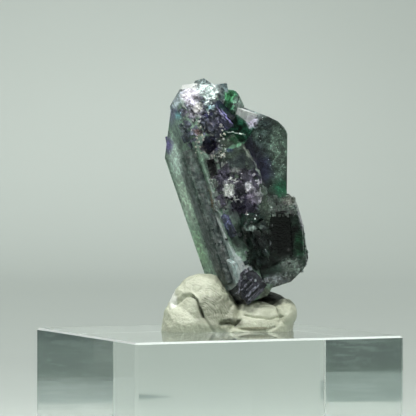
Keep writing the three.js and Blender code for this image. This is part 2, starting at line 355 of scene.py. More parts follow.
for name, (middle, size, degrees, foot) in CARDS.items():
    bm = bmesh.new()
    bmesh.ops.create_grid(bm, x_segments=1, y_segments=1, size=0.5)
    bmesh.ops.scale(bm, vec=(*size, 1), verts=bm.verts)
    bmesh.ops.rotate(bm, matrix=Matrix.Rotation(math.pi / 2, 3, "X"), verts=bm.verts)
    low_edge = min(bm.edges, key=lambda item: item.verts[0].co.z + item.verts[1].co.z)
    grown = bmesh.ops.extrude_edge_only(bm, edges=[low_edge])
    tips = [item for item in grown["geom"] if isinstance(item, bmesh.types.BMVert)]
    bmesh.ops.translate(bm, vec=(0, foot, CARD_LIFT), verts=tips)
    spin = Matrix.Rotation(math.radians(degrees), 4, "Z")
    place_card = to_stage.to_4x4() @ Matrix.Translation(middle) @ spin
    card = show(object_from(bm, name, place_card))
    card.data.materials.append(card_paper)
    card.visible_camera = False
    card.visible_diffuse = False
    card.visible_shadow = False
print("cards:", ", ".join(CARDS))

# %% [markdown]
# ## Acrylic block
# The block is cast acrylic, sawn and chamfered, and its large faces are polished. Its solid
# already has the right shape, so it keeps its mesh and only gets a finish: clear, IOR 1.49, with
# the faint smears and hairline scratches that handling leaves on polished plastic. The narrow
# chamfers round its top are only finely ground, so they are a little milky, and the finish finds
# them by their normals, which stand halfway between level and upright. Light passes through clear
# plastic, so the block casts no shadow, where Cycles would give it that of a dark solid.

# %% Acrylic finish
ACRYLIC_IOR = 1.49
ACRYLIC_TINT = "#f4f9f6"
SMEAR_PER_METRE = 55.0
SMEAR_ROUGHNESS = (0.005, 0.1)
SCRATCH_PER_METRE = 900.0
SCRATCH_SQUASH = (1, 1, 0.06)
SCRATCH_DEPTH = 0.0001
CHAMFER_SLOPE = 0.707
CHAMFER_MARGIN = 0.2
CHAMFER_ROUGHER = 0.3
CHAMFER_MILK = 0.45

acrylic, tree, shader = new_material("cast_acrylic_polished")
place = add(tree, "ShaderNodeTexCoord")
smear = add(
    tree, "ShaderNodeTexNoise",
    {"Vector": place.outputs["Object"], "Scale": SMEAR_PER_METRE, "Detail": 5.0},
)
smeared = add(
    tree, "ShaderNodeMapRange",
    {
        "Value": smear.outputs["Fac"], "From Min": 0.5, "From Max": 0.8,
        "To Min": SMEAR_ROUGHNESS[0], "To Max": SMEAR_ROUGHNESS[1],
    },
)
stretch = add(
    tree, "ShaderNodeMapping", {"Vector": place.outputs["Object"], "Scale": SCRATCH_SQUASH}
)
scratch = add(
    tree, "ShaderNodeTexNoise", {"Vector": stretch.outputs["Vector"], "Scale": SCRATCH_PER_METRE}
)
bump = add(
    tree, "ShaderNodeBump",
    {"Height": scratch.outputs["Fac"], "Strength": 0.02, "Distance": SCRATCH_DEPTH},
)
facing = add(tree, "ShaderNodeSeparateXYZ", {"Vector": place.outputs["Normal"]})
chamfer = add(
    tree, "ShaderNodeMath", {0: facing.outputs["Z"], 1: CHAMFER_SLOPE, 2: CHAMFER_MARGIN},
    operation="COMPARE",
)
ground = add(
    tree, "ShaderNodeMath",
    {0: chamfer.outputs["Value"], 1: CHAMFER_ROUGHER, 2: smeared.outputs["Result"]},
    operation="MULTIPLY_ADD",
)
clear = add(
    tree, "ShaderNodeMath", {0: chamfer.outputs["Value"], 1: -CHAMFER_MILK, 2: 1.0},
    operation="MULTIPLY_ADD",
)
tree.links.new(ground.outputs["Value"], shader.inputs["Roughness"])
tree.links.new(clear.outputs["Value"], shader.inputs["Transmission Weight"])
tree.links.new(bump.outputs["Normal"], shader.inputs["Normal"])
shader.inputs["Base Color"].default_value = linear(ACRYLIC_TINT)
shader.inputs["IOR"].default_value = ACRYLIC_IOR

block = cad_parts["acrylic_block"]
block.data.materials.clear()
block.data.materials.append(acrylic)
block.visible_shadow = False
print("block:", [round(value / MM, 1) for value in block_high - block_low], "mm")

# %% [markdown]
# ## Fluorite: the large crystals
# Fluorite grows as cubes. A cluster is many cubes that started at different turns and grew into
# each other, with corners and ends lost to later faces and to breakage. They could be sculpted, but
# a cuboid that planes cut corners off keeps each face flat and each edge straight, as growth does.
# So each large crystal is a cuboid with a place and a turn. It is also a few slightly larger or
# smaller cuboids in the same turn, which leaves the low growth steps that real cube faces have.
#
# Each crystal also carries its body colour, the tint, and its habit, three numbers that the finish
# reads: how zoned with purple, how frosted and how clear it is. Bars are the fine lines that stand
# proud along the crystal's length, by the rise where one is given. A cut is a point of a plane and
# the direction that is cut away. Sizes and places are in millimetres and turns in degrees.

# %% The slab and its lower end
CRYSTALS = {
    "leaning_slab": {
        "size": (7.4, 14.4, 39), "at": (1.5, 0.8, 23.9), "turn": (0, -19, 25),
        "cuts": (
            ((-7.7, 2, 34.6), (-0.95, 0.1, 0.24)),
            ((-6.4, 2, 41), (-0.9, 0.1, 0.42)),
            ((3.0, -8, 6.2), (-0.75, -0.35, -0.65)),
            ((11.2, 0, 7.2), (0.845, 0, -0.535)),
        ),
        "habit": (0.05, 0.05, 0.3), "steps": 7, "bars": 26, "rise": (0.02, 0.07),
        "tint": "#779280",
    },
    "slab_step": {
        "size": (5.2, 3.4, 25), "at": (1.1, -4.9, 21.2), "turn": (0, -19, 25),
        "habit": (0.2, 0.3, 0.3), "steps": 4, "bars": 14, "rise": (0.02, 0.08),
        "tint": "#4a5952",
    },
    "ridge_crystal": {
        "size": (3.6, 4.6, 22), "at": (2.9, -5.4, 21.4), "turn": (0, -19.5, 34),
        "cuts": (((4.6, -8, 12.6), (0.5, -0.8, 0.3)),),
        "habit": (0.2, 0.55, 0.2), "steps": 5, "bars": 12,
        "tint": "#7b918d",
    },
    "end_cube": {
        "size": (5.0, 6.6, 4.6), "at": (6.6, -5.4, 8.2), "turn": (8, -42, 20),
        "cuts": (((5.8, -8.4, 8.2), (-0.85, -0.52, 0.12)),),
        "habit": (0.15, 0.1, 0.5), "steps": 1, "bars": 26, "along": 0,
        "rise": (0.12, 0.3), "bar_tint": "#6d6f78", "tint": "#26272d",
    },
    "end_ledge": {
        "size": (4.0, 4.6, 6.4), "at": (5.3, -5.0, 10.6), "turn": (0, -22, 42),
        "cuts": (((5.6, -7.8, 12.4), (0.1, -0.55, 0.83)),),
        "habit": (0.0, 0.5, 0.3), "steps": 3, "bars": 4,
        "tint": "#86a09e",
    },
}
print("slab and its lower end:", len(CRYSTALS))

# %% [markdown]
# To the right of the slab stand two big cubes, one above the other. Between them and the slab lie
# a thin oval plate, whose rim five cuts round off, and a mass of purple crystals behind it.

# %% The right side
CRYSTALS |= {
    "upper_right_cube": {
        "size": (11.0, 10.8, 17), "at": (8.6, 2.6, 33.2), "turn": (0, 0.5, 5),
        "cuts": (
            ((12.6, 0, 38.4), (0.43, 0.05, 0.9)),
            ((14.0, 0, 37.3), (0.8, -0.1, 0.6)),
            ((6.8, -1.6, 38.6), (-0.28, -0.62, 0.73)),
            ((10, 8, 25.4), (0.1, 0.5, -0.86)),
        ),
        "habit": (0.35, 0.05, 0.8), "steps": 1, "bars": 6,
        "tint": "#4a6054",
    },
    "oval_plate": {
        "size": (11, 4.2, 22), "at": (5.4, -3.9, 24.6), "turn": (3, -16, -10),
        "cuts": (
            ((6.1, -3, 33.9), (0.78, 0, 0.62)),
            ((8.3, -3, 30.6), (0.86, 0, 0.5)),
            ((10.1, -3, 26.4), (0.96, 0, 0.28)),
            ((11.3, -3, 21.6), (0.99, 0, -0.08)),
            ((10.4, -3, 17.4), (0.86, 0, -0.5)),
        ),
        "habit": (0.35, 0.2, 0.5), "steps": 4, "bars": 5,
        "tint": "#4c5a4e",
    },
    "middle_mass": {
        "size": (9, 9, 24), "at": (5.2, 0.4, 25.6), "turn": (0, -14, 8),
        "cuts": (
            ((9.4, 0, 13), (0.8, 0, -0.6)),
            ((9, 0, 36.5), (0.5, 0, 0.86)),
        ),
        "habit": (0.6, 0.1, 0.6), "steps": 2, "bars": 0,
        "tint": "#3c4150",
    },
    "lower_right_cube": {
        "size": (11.0, 12, 17.4), "at": (12.9, -0.4, 16.6), "turn": (0, -3.5, -11),
        "cuts": (
            ((15.1, 0, 24.8), (0.55, 0, 0.83)),
            ((16.5, 0, 22.4), (0.9, -0.1, 0.42)),
            ((13.2, -6.0, 22.2), (-0.05, -0.62, 0.78)),
            ((17.6, 0, 18.0), (0.98, 0, 0.16)),
            ((18.3, 0, 13.2), (0.9, 0, -0.42)),
            ((17.0, 0, 10.9), (0.72, 0, -0.7)),
            ((13.9, 0, 8.6), (0.3, 0, -0.95)),
            ((15.2, -6.4, 12.2), (0.3, -0.75, -0.58)),
            ((13, 6, 14), (0.1, 0.72, -0.68)),
        ),
        "habit": (0.05, 0.1, 0.9), "steps": 4, "bars": 6, "rise": (0.02, 0.06),
        "tint": "#33443b",
    },
    "lower_right_step": {
        "size": (6.6, 5.0, 9.6), "at": (12.4, -4.3, 16.8), "turn": (0, -5, -12),
        "cuts": (((12, -7.2, 12.8), (0.25, -0.6, -0.76)),),
        "habit": (0.0, 0.05, 1.0), "steps": 2, "bars": 0,
        "tint": "#121a16",
    },
}
print("with the right side:", len(CRYSTALS))

# %% [markdown]
# The crown is broken. Small cubes in deep green and indigo stick out of it at odd turns, its top is
# frosted, and clear splinters are left where a crystal snapped off.

# %% The crown
CRYSTALS |= {
    "green_cube": {
        "size": (4.4, 4.8, 4.8), "at": (5.0, -3.9, 36.2), "turn": (-12, 36, 14),
        "habit": (0.0, 0.0, 1.0), "steps": 1, "bars": 0,
        "tint": "#1d4a38",
    },
    "indigo_cube": {
        "size": (5.4, 5.8, 5.0), "at": (1.4, -3.9, 38.5), "turn": (10, -44, -14),
        "habit": (0.9, 0.05, 0.9), "steps": 2, "bars": 5,
        "tint": "#3c3c62",
    },
    "crown_block": {
        "size": (8.2, 9.5, 10.2), "at": (-1.3, 0.2, 39.8), "turn": (4, -8, 22),
        "cuts": (
            ((-5.5, 0, 43.6), (-0.86, -0.1, 0.5)),
            ((-4.2, -3.8, 42.8), (-0.3, -0.6, 0.74)),
        ),
        "habit": (0.2, 0.3, 0.5), "steps": 4, "bars": 6,
        "tint": "#6a7d80",
    },
    "crown_cube": {
        "size": (5.2, 6.4, 5.2), "at": (3.2, 0.2, 41.3), "turn": (-8, 16, -12),
        "cuts": (
            ((5.9, 0, 42.6), (0.85, 0, 0.5)),
            ((3.4, 0, 44.2), (0.12, 0, 0.99)),
        ),
        "habit": (0.0, 0.15, 0.9), "steps": 3, "bars": 0,
        "tint": "#4a8a66",
    },
    "grey_cube": {
        "size": (4.2, 4.8, 5.4), "at": (5.6, -0.4, 38.2), "turn": (6, 20, 34),
        "habit": (0.1, 0.7, 0.3), "steps": 2, "bars": 3,
        "tint": "#6d7877",
    },
    "frosted_peak": {
        "size": (3.8, 4.2, 3.8), "at": (-2.6, -0.6, 42.9), "turn": (-14, 16, 40),
        "cuts": (((-5.2, 0, 44.6), (-0.8, 0, 0.6)),),
        "habit": (0.0, 0.95, 0.3), "steps": 3, "bars": 0,
        "tint": "#cfd6d6",
    },
    "broken_shard": {
        "size": (2.6, 3.6, 4.6), "at": (-1.5, -0.8, 43.6), "turn": (-18, 24, 30),
        "habit": (0.0, 0.2, 1.0), "steps": 2, "bars": 0,
        "tint": "#b9c9c9",
    },
    "broken_tip": {
        "size": (2.2, 3.0, 3.2), "at": (0.4, -0.6, 42.7), "turn": (14, -30, 10),
        "habit": (0.0, 0.1, 1.0), "steps": 1, "bars": 0,
        "tint": "#9db4b0",
    },
    "left_tooth": {
        "size": (1.4, 4.0, 4.4), "at": (-6.2, 3.4, 33.9), "turn": (0, -10, 25),
        "habit": (0.8, 0.2, 0.6), "steps": 1, "bars": 0,
        "tint": "#5a4f80",
    },
}
print("with the crown:", len(CRYSTALS))

# %% [markdown]
# The back carries more cubes of the same kind. The last crystals are small: a slender prism, a
# glassy cube and dark ones between the big crystals, and a stained one under the cluster. The
# hollows are spaces that the growth left open.

# %% The back and the small crystals
CRYSTALS |= {
    "back_cube": {
        "size": (9.5, 8.5, 10.5), "at": (3.4, 5.2, 29.5), "turn": (8, -14, 38),
        "habit": (0.2, 0.2, 0.7), "steps": 6, "bars": 8,
        "tint": "#4c6a5c",
    },
    "back_low_cube": {
        "size": (8.2, 7.6, 9.4), "at": (8.0, 4.2, 17.4), "turn": (-6, -22, 28),
        "habit": (0.4, 0.2, 0.6), "steps": 5, "bars": 8,
        "tint": "#4a5560",
    },
    "back_high_cube": {
        "size": (7.0, 6.8, 7.2), "at": (0.9, 4.4, 38.0), "turn": (12, -8, 20),
        "habit": (0.6, 0.2, 0.6), "steps": 4, "bars": 6,
        "tint": "#545a78",
    },
    "small_prism": {
        "size": (1.1, 1.1, 4.8), "at": (3.7, -7.6, 19.5), "turn": (4, -25, 38),
        "cuts": (((2.9, -7, 21.5), (-0.2, -0.5, 0.84)),),
        "habit": (0.12, 0.1, 0.8), "steps": 0, "bars": 2,
        "tint": "#6b7192",
    },
    "glassy_cube": {
        "size": (4.0, 3.2, 3.0), "at": (7.9, -5.6, 20.3), "turn": (16, 12, 20),
        "habit": (0.0, 0.1, 1.0), "steps": 0, "bars": 0,
        "tint": "#2c453d",
    },
    "dark_cube": {
        "size": (5.6, 4.6, 6.2), "at": (8.5, -3.8, 15.4), "turn": (8, -20, -22),
        "habit": (0.1, 0.1, 0.9), "steps": 2, "bars": 0,
        "tint": "#1d2823",
    },
    "lower_dark_cube": {
        "size": (3.8, 4.0, 4.6), "at": (8.6, -2.2, 11.4), "turn": (-10, -30, 16),
        "habit": (0.1, 0.05, 0.9), "steps": 1, "bars": 0,
        "tint": "#18221d",
    },
    "stained_foot": {
        "size": (1.5, 3.2, 4.4), "at": (9.9, 0.6, 7.9), "turn": (0, 34, 10),
        "habit": (0.0, 0.3, 0.3), "steps": 0, "bars": 0,
        "tint": "#2c2818",
    },
}
HOLLOWS = (
    {"size": (2.8, 4.0, 2.8), "at": (0.3, -6.6, 33.7), "turn": (0, 30, 20)},
    {"size": (1.5, 4.4, 3.6), "at": (0.8, -7.2, 29.6), "turn": (0, -14, 0)},
    {"size": (2.4, 3.6, 2.0), "at": (6.2, -7.2, 22.6), "turn": (0, 20, 10)},
)
print("large crystals:", len(CRYSTALS), "and hollows:", len(HOLLOWS))

# %% [markdown]
# One function makes any crystal: a unit cube is scaled, placed, cut by its planes and given a
# narrow bevel, because no real edge is a knife edge and it is the bevels that catch the light.
# Before that, every face of the cube gets its own square of the UV map, from corner to corner, so
# that the finish can draw growth zones parallel to the edges.

# %% One crystal
EDGE_WEAR = 0.07


def placement(at, turn):
    """Place and turn in degrees about x, y and z, where the turn about z comes first."""
    matrix = Matrix.Translation(at)
    for angle, axis in zip(turn, "XYZ"):
        matrix = matrix @ Matrix.Rotation(math.radians(angle), 4, axis)
    return matrix


def mark(item, habit, tint):
    """Writes the habit and the tint of a crystal on all its faces."""
    count = len(item.data.polygons)
    marks = item.data.attributes.new("habit", "FLOAT_VECTOR", "FACE")
    marks.data.foreach_set("vector", list(habit) * count)
    colours = item.data.attributes.new("tint", "FLOAT_VECTOR", "FACE")
    colours.data.foreach_set("vector", list(linear(tint)[:3]) * count)
    return item


def crystal(name, size, at, turn, cuts=(), habit=(0, 0, 0), tint="#808080", wear=EDGE_WEAR):
    """A cuboid crystal as an object in the specimen's frame, in millimetres."""
    bm = bmesh.new()
    bmesh.ops.create_cube(bm, size=1.0)
    square = bm.loops.layers.uv.new("face")
    for face in bm.faces:
        flat_axis = max(range(3), key=lambda i: abs(face.normal[i]))
        first, second = [i for i in range(3) if i != flat_axis]
        for loop in face.loops:
            loop[square].uv = (loop.vert.co[first] + 0.5, loop.vert.co[second] + 0.5)
    bmesh.ops.scale(bm, vec=size, verts=bm.verts)
    bmesh.ops.transform(bm, matrix=placement(at, turn), verts=bm.verts)
    for point, out in cuts:
        everything = [*bm.verts, *bm.edges, *bm.faces]
        found = bmesh.ops.bisect_plane(
            bm, geom=everything, plane_co=point, plane_no=out, clear_outer=True
        )
        rim = [item for item in found["geom_cut"] if isinstance(item, bmesh.types.BMEdge)]
        if rim:
            bmesh.ops.contextual_create(bm, geom=rim)
    if wear:
        bmesh.ops.bevel(
            bm, geom=bm.edges[:], offset=wear, offset_type="OFFSET", segments=1, profile=0.5,
            affect="EDGES", material=-1, clamp_overlap=True,
        )
    bmesh.ops.recalc_face_normals(bm, faces=bm.faces)
    return mark(object_from(bm, name), habit, tint)


print("edges are worn by", EDGE_WEAR, "mm")

# %% [markdown]
# A growth step is a copy of the crystal that covers a share of one pair of faces and stands proud
# of them by a tenth of a millimetre or so. A bar is a very narrow one. Their places come from one
# seeded source of chance, so the cluster is the same each time.

# %% Growth steps
SEED = 23
STEP_RISE = (0.08, 0.3)
STEP_SHARE = (0.35, 0.9)
BAR_RISE = (0.03, 0.16)
BAR_WIDTH = (0.02, 0.1)
BAR_LENGTH = (0.2, 0.75)
CUT_JITTER = 0.12
chance = random.Random(SEED)
print("growth steps stand", STEP_RISE, "mm proud and bars", BAR_RISE)


def growth_steps(
    name, size, at, turn, cuts, habit, tint, count, bars, along=2, rise=BAR_RISE, bar_tint=None
):
    """Copies of a crystal that stand proud on one pair of faces and fall short on the others."""
    inner = placement(at, turn)
    steps = []
    for number in range(count + bars):
        is_bar = number >= count
        proud = chance.choice([axis for axis in range(3) if not (is_bar and axis == along)])
        shares = [chance.uniform(*(BAR_WIDTH if is_bar else STEP_SHARE)) for _ in range(3)]
        if is_bar:
            shares[along] = chance.uniform(*BAR_LENGTH)
        slack = [side * (1 - share) / 2 for side, share in zip(size, shares)]
        shift = [chance.uniform(-room, room) for room in slack]
        sides = [side * share for side, share in zip(size, shares)]
        sides[proud] = size[proud] + 2 * chance.uniform(*(rise if is_bar else STEP_RISE))
        shift[proud] = 0.0
        moved = []
        for point, out in cuts:
            push = Vector(out).normalized() * chance.uniform(-CUT_JITTER, CUT_JITTER)
            moved.append((Vector(point) + push, out))
        middle = inner @ Vector(shift)
        wear = 0.0 if is_bar else EDGE_WEAR
        paint = bar_tint if is_bar and bar_tint else tint
        steps.append(crystal(f"{name}_step{number}", sides, middle, turn, moved, habit, paint, wear))
    return steps


# %% Build the large crystals
large = []
for name, spec in CRYSTALS.items():
    body = (spec["size"], spec["at"], spec["turn"], spec.get("cuts", ()), spec["habit"], spec["tint"])
    large.append(crystal(name, *body))
    lines = {key: spec[key] for key in ("along", "rise", "bar_tint") if key in spec}
    large += growth_steps(name, *body, spec["steps"], spec["bars"], **lines)
print("cuboids with their growth steps:", len(large))

# %% [markdown]
# The crystals are grown into each other, so they become one skin: a Boolean modifier joins a
# whole collection at once, and another takes the hollows out. The Manifold solver does hundreds of
# closed solids in a second and keeps the UV map and the habit of every face.

# %% Joining
def finished(item):
    """A new mesh of the object with its modifiers applied."""
    graph = bpy.context.evaluated_depsgraph_get()
    return bpy.data.meshes.new_from_object(item.evaluated_get(graph))


def merged(base, others, operation):
    """The mesh of base joined with, or cut by, all the other objects."""
    group = bpy.data.collections.new("operands")
    for other in others:
        group.objects.link(other)
    show(base)
    modifier = base.modifiers.new("merge", "BOOLEAN")
    modifier.operation = operation
    modifier.operand_type = "COLLECTION"
    modifier.collection = group
    modifier.solver = "MANIFOLD"
    mesh = finished(base)
    for item in (base, *others):
        bpy.data.objects.remove(item)
    bpy.data.collections.remove(group)
    return mesh


print("to be joined:", len(large), "cuboids")


# %% Cleaning
def largest_island(mesh):
    """Keeps the skin with the most vertices. Sealed pockets and loose crumbs go."""
    bm = bmesh.new()
    bm.from_mesh(mesh)
    bm.verts.ensure_lookup_table()
    unseen = set(bm.verts)
    islands = []
    while unseen:
        island = {unseen.pop()}
        front = list(island)
        while front:
            for edge in front.pop().link_edges:
                for vert in edge.verts:
                    if vert in unseen:
                        unseen.discard(vert)
                        island.add(vert)
                        front.append(vert)
        islands.append(island)
    keep = max(islands, key=len)
    print("skins found:", len(islands))
    bmesh.ops.delete(bm, geom=[vert for vert in bm.verts if vert not in keep], context="VERTS")
    bm.to_mesh(mesh)
    bm.free()
    return mesh


# %% Join the large crystals
host_mesh = merged(large[0], large[1:], "UNION")
cutters = [crystal(f"hollow{i}", cuts=(), **spec) for i, spec in enumerate(HOLLOWS)]
host_mesh = merged(bpy.data.objects.new("host", host_mesh), cutters, "DIFFERENCE")
host_mesh = largest_island(host_mesh)
print("joined large crystals:", len(host_mesh.polygons), "faces")

# %% [markdown]
# ## Fluorite: druse, grains and shards
# The space between the large crystals is crusted with small ones: a druse of little cubes, white
# grains where the surface is etched, and clear splinters on the broken crown. Particles could
# strew them, but they would stay loose, and here they are grown on like the rest. Each is placed
# by looking at the joined skin from one side and setting a small solid where the look lands, sunk
# by part of its size. It lies much as the crystal under it does, with a few degrees of scatter.
# A patch has the bearing of that side, the window across and up that is looked through, and the
# shortest and longest side of its solids. Small ones are the more common.

# %% Patches of small crystals
PATCHES = (
    {"kind": "cube", "bearing": 0, "across": (2.0, 8.8), "up": (22, 29.6), "side": (0.4, 1.7),
     "lie": (4, -22, -24), "habit": (0.35, 0.1, 0.6), "tint": "#55525f", "count": 120},
    {"kind": "cube", "bearing": 0, "across": (0.8, 3.4), "up": (22, 34), "side": (0.3, 1.1),
     "lie": (0, -18, 40), "habit": (0.1, 0.3, 0.5), "tint": "#7a847e", "count": 70},
    {"kind": "cube", "bearing": 0, "across": (-4.6, 1.6), "up": (34, 43), "side": (0.3, 1.3),
     "lie": (8, -30, 20), "habit": (0.2, 0.1, 0.8), "tint": "#767b8a", "count": 130},
    {"kind": "cube", "bearing": 0, "across": (6.8, 10.8), "up": (12, 20), "side": (0.5, 1.9),
     "lie": (0, -24, 16), "habit": (0.1, 0.05, 0.9), "tint": "#26352d", "count": 60},
    {"kind": "cube", "bearing": 0, "across": (11.0, 16.0), "up": (21, 24.5), "side": (0.25, 0.7),
     "lie": (0, -4, -16), "habit": (0.0, 0.2, 0.4), "tint": "#5f6b62", "count": 90},
    {"kind": "cube", "bearing": 60, "across": (-6, 6), "up": (9, 24), "side": (0.25, 0.7),
     "lie": (0, -8, -14), "habit": (0.1, 0.2, 0.5), "tint": "#6b7274", "count": 90},
    {"kind": "cube", "bearing": 0, "across": (-7.0, 1.0), "up": (10, 40), "side": (0.2, 0.45),
     "lie": (0, -19, 25), "habit": (0.0, 0.1, 0.3), "tint": "#4f6656", "count": 30},
    {"kind": "cube", "bearing": 180, "across": (-10.4, 0.5), "up": (14, 36.5), "side": (0.6, 2.6),
     "lie": (6, -16, 32), "habit": (0.3, 0.2, 0.6), "tint": "#4c6058", "count": 200},
    {"kind": "grain", "bearing": 0, "across": (0.2, 3.2), "up": (27, 36), "side": (0.2, 0.55),
     "lie": (0, 0, 0), "habit": (0.0, 0.5, 0.3), "tint": "#b9bdb9", "count": 70},
    {"kind": "grain", "bearing": 0, "across": (-5.0, 0.4), "up": (36, 45), "side": (0.2, 0.6),
     "lie": (0, 0, 0), "habit": (0.0, 0.7, 0.3), "tint": "#d3d6d6", "count": 130},
    {"kind": "shard", "bearing": 0, "across": (-2.8, 1.4), "up": (41.0, 45.0), "side": (0.5, 1.4),
     "lie": (35, -100, 0), "habit": (0.0, 0.1, 1.0), "tint": "#dfeceb", "count": 90},
    {"kind": "grain", "bearing": 0, "across": (-2.4, 3.2), "up": (31.5, 38), "side": (0.2, 0.6),
     "lie": (0, 0, 0), "habit": (0.0, 0.5, 0.3), "tint": "#bdb7aa", "count": 110},
    {"kind": "shard", "bearing": 0, "across": (2.6, 5.4), "up": (24, 27.8), "side": (0.4, 1.3),
     "lie": (10, 30, 10), "habit": (0.1, 0.6, 0.4), "tint": "#c3c6c2", "count": 46},
    {"kind": "shard", "bearing": 0, "across": (6.0, 9.6), "up": (23.5, 29), "side": (0.4, 1.1),
     "lie": (10, 40, 10), "habit": (0.15, 0.5, 0.4), "tint": "#b3aebb", "count": 46},
    {"kind": "grain", "bearing": 0, "across": (11.4, 14.0), "up": (29, 37), "side": (0.12, 0.34),
     "lie": (0, 0, 0), "habit": (0.0, 0.2, 0.5), "tint": "#7d9a88", "count": 60},
)
print("patches:", len(PATCHES), "with", sum(patch["count"] for patch in PATCHES), "looks")

# %% Scatter small crystals
SCATTER = {"cube": 13, "grain": 180, "shard": 50}
CHUNKY = ((0.7, 1.2), (0.7, 1.5))
SPLINTERY = ((0.25, 0.5), (0.6, 1.0), (1.0, 1.8))
HABIT_SCATTER = 0.15
SMALL_WEAR = 0.03
SINK = (0.0, 0.35)
LOOK_FROM = 40.0
print("degrees of scatter:", SCATTER)


def grain(name, size, at, turn, habit, tint):
    """A rough crumb of twenty faces, of the given size in each direction."""
    bm = bmesh.new()
    bmesh.ops.create_icosphere(bm, subdivisions=1, radius=0.5)
    bmesh.ops.scale(bm, vec=size, verts=bm.verts)
    bmesh.ops.transform(bm, matrix=placement(at, turn), verts=bm.verts)
    bm.loops.layers.uv.new("face")
    return mark(object_from(bm, name), habit, tint)


def scatter(patch, tree, number):
    """Small solids of one patch, each set where a look from the patch's side lands."""
    spin = Matrix.Rotation(math.radians(patch["bearing"]), 3, "Z")
    inward = spin @ Vector((0, 1, 0))
    spread = SCATTER[patch["kind"]]
    shortest, longest = patch["side"]
    items = []
    for index in range(patch["count"]):
        across = chance.uniform(*patch["across"])
        start = spin @ Vector((across, -LOOK_FROM, chance.uniform(*patch["up"])))
        edge = shortest + (longest - shortest) * chance.random() ** 2
        turn = [angle + chance.uniform(-spread, spread) for angle in patch["lie"]]
        habit = [part + chance.uniform(-HABIT_SCATTER, HABIT_SCATTER) for part in patch["habit"]]
        habit = [min(1.0, max(0.0, part)) for part in habit]
        shape = [1.0, *(chance.uniform(*room) for room in CHUNKY)]
        if patch["kind"] == "shard":
            shape = [chance.uniform(*room) for room in SPLINTERY]
        hit = tree.ray_cast(start, inward)[0]
        if hit is None:
            continue
        at = hit + inward * edge * chance.uniform(*SINK)
        size = [edge * part for part in shape]
        name = f"{patch['kind']}{number}_{index}"
        if patch["kind"] == "grain":
            items.append(grain(name, size, at, turn, habit, patch["tint"]))
        else:
            items.append(crystal(name, size, at, turn, (), habit, patch["tint"], SMALL_WEAR))
    return items


# %% Grow the small crystals on
bm = bmesh.new()
bm.from_mesh(host_mesh)
skin_tree = BVHTree.FromBMesh(bm)
bm.free()
small = []
for number, patch in enumerate(PATCHES):
    small += scatter(patch, skin_tree, number)
cluster_mesh = merged(bpy.data.objects.new("cluster", host_mesh), small, "UNION")
cluster_mesh = largest_island(cluster_mesh)
cluster_mesh.transform(to_row)
cluster = show(bpy.data.objects.new("fluorite", cluster_mesh))
cluster_mesh.calc_loop_triangles()
print("cluster:", len(small), "small solids,", len(cluster_mesh.loop_triangles), "triangles")

# %% [markdown]
# ## Fluorite finish
# Fluorite is a soft, glassy mineral with a low refractive index of 1.434. The green comes from
# light lost inside the crystal, so the material has an absorbing volume: thin rims glow green and
# thick parts go nearly black. On top of that the habit of each crystal sets how much light gets
# in: glassy faces let nearly all of it through, etched faces scatter it, and frosted crusts are
# almost white. All patterns are drawn in the specimen's own millimetres, by a mapping that undoes
# its place and turn on the block, so a noise scale is a number of waves per millimetre.

# %% Patterns in millimetres
CLOUD_PER_MM = 0.3
STREAK_PER_MM = 1.1
STREAK_STRETCH = 7
SLAB_LEAN = math.radians(-19)
SPECK_PER_MM = 1.2
VEIL_PER_MM = 0.8


def in_millimetres(tree):
    """The socket that gives a point of a piece in the specimen's frame."""
    place = add(tree, "ShaderNodeTexCoord")
    spot = add(
        tree, "ShaderNodeMapping",
        {
            "Vector": place.outputs["Object"],
            "Location": (SPECIMEN_AT[0] * MM, SPECIMEN_AT[1] * MM, block_top),
            "Rotation": (0, 0, SPECIMEN_TURN),
            "Scale": (MM, MM, MM),
        },
        vector_type="TEXTURE",
    )
    return spot.outputs["Vector"]


fluorite, tree, shader = new_material("fluorite_green_and_purple")
spot = in_millimetres(tree)
leaning = add(
    tree, "ShaderNodeMapping",
    {"Vector": spot, "Rotation": (0, SLAB_LEAN, 0), "Scale": (1, 1, STREAK_STRETCH)},
    vector_type="TEXTURE",
)
cloud = add(tree, "ShaderNodeTexNoise", {"Vector": spot, "Scale": CLOUD_PER_MM, "Detail": 5.0})
streak = add(
    tree, "ShaderNodeTexNoise",
    {"Vector": leaning.outputs["Vector"], "Scale": STREAK_PER_MM, "Detail": 7.0},
)
speck = add(
    tree, "ShaderNodeTexNoise",
    {"Vector": spot, "Scale": SPECK_PER_MM, "Detail": 5.0, "Roughness": 0.6},
)
veil = add(
    tree, "ShaderNodeTexNoise",
    {"Vector": spot, "Scale": VEIL_PER_MM, "Detail": 9.0, "Roughness": 0.65, "Distortion": 1.2},
)
habit = add(tree, "ShaderNodeAttribute", attribute_name="habit")
habits = add(tree, "ShaderNodeSeparateXYZ", {"Vector": habit.outputs["Vector"]})
zoned, frosted, clear = (habits.outputs[axis] for axis in "XYZ")
tint = add(tree, "ShaderNodeAttribute", attribute_name="tint")
print("fluorite patterns: clouds, streaks, specks and a veil")

# %% [markdown]
# The body colour of a face is its crystal's tint, made darker and lighter by long streaks, which
# run along the slab, by soft clouds, and by a veil of finer flecks that shows most in the clear
# crystals.

# %% Body colour
STREAK_SHADE = (0.45, 1.6)
CLOUD_SHADE = (0.7, 1.3)
VEIL_SHADE = (0.6, 1.7)
VEIL_SHARE = (0.35, 1.0)

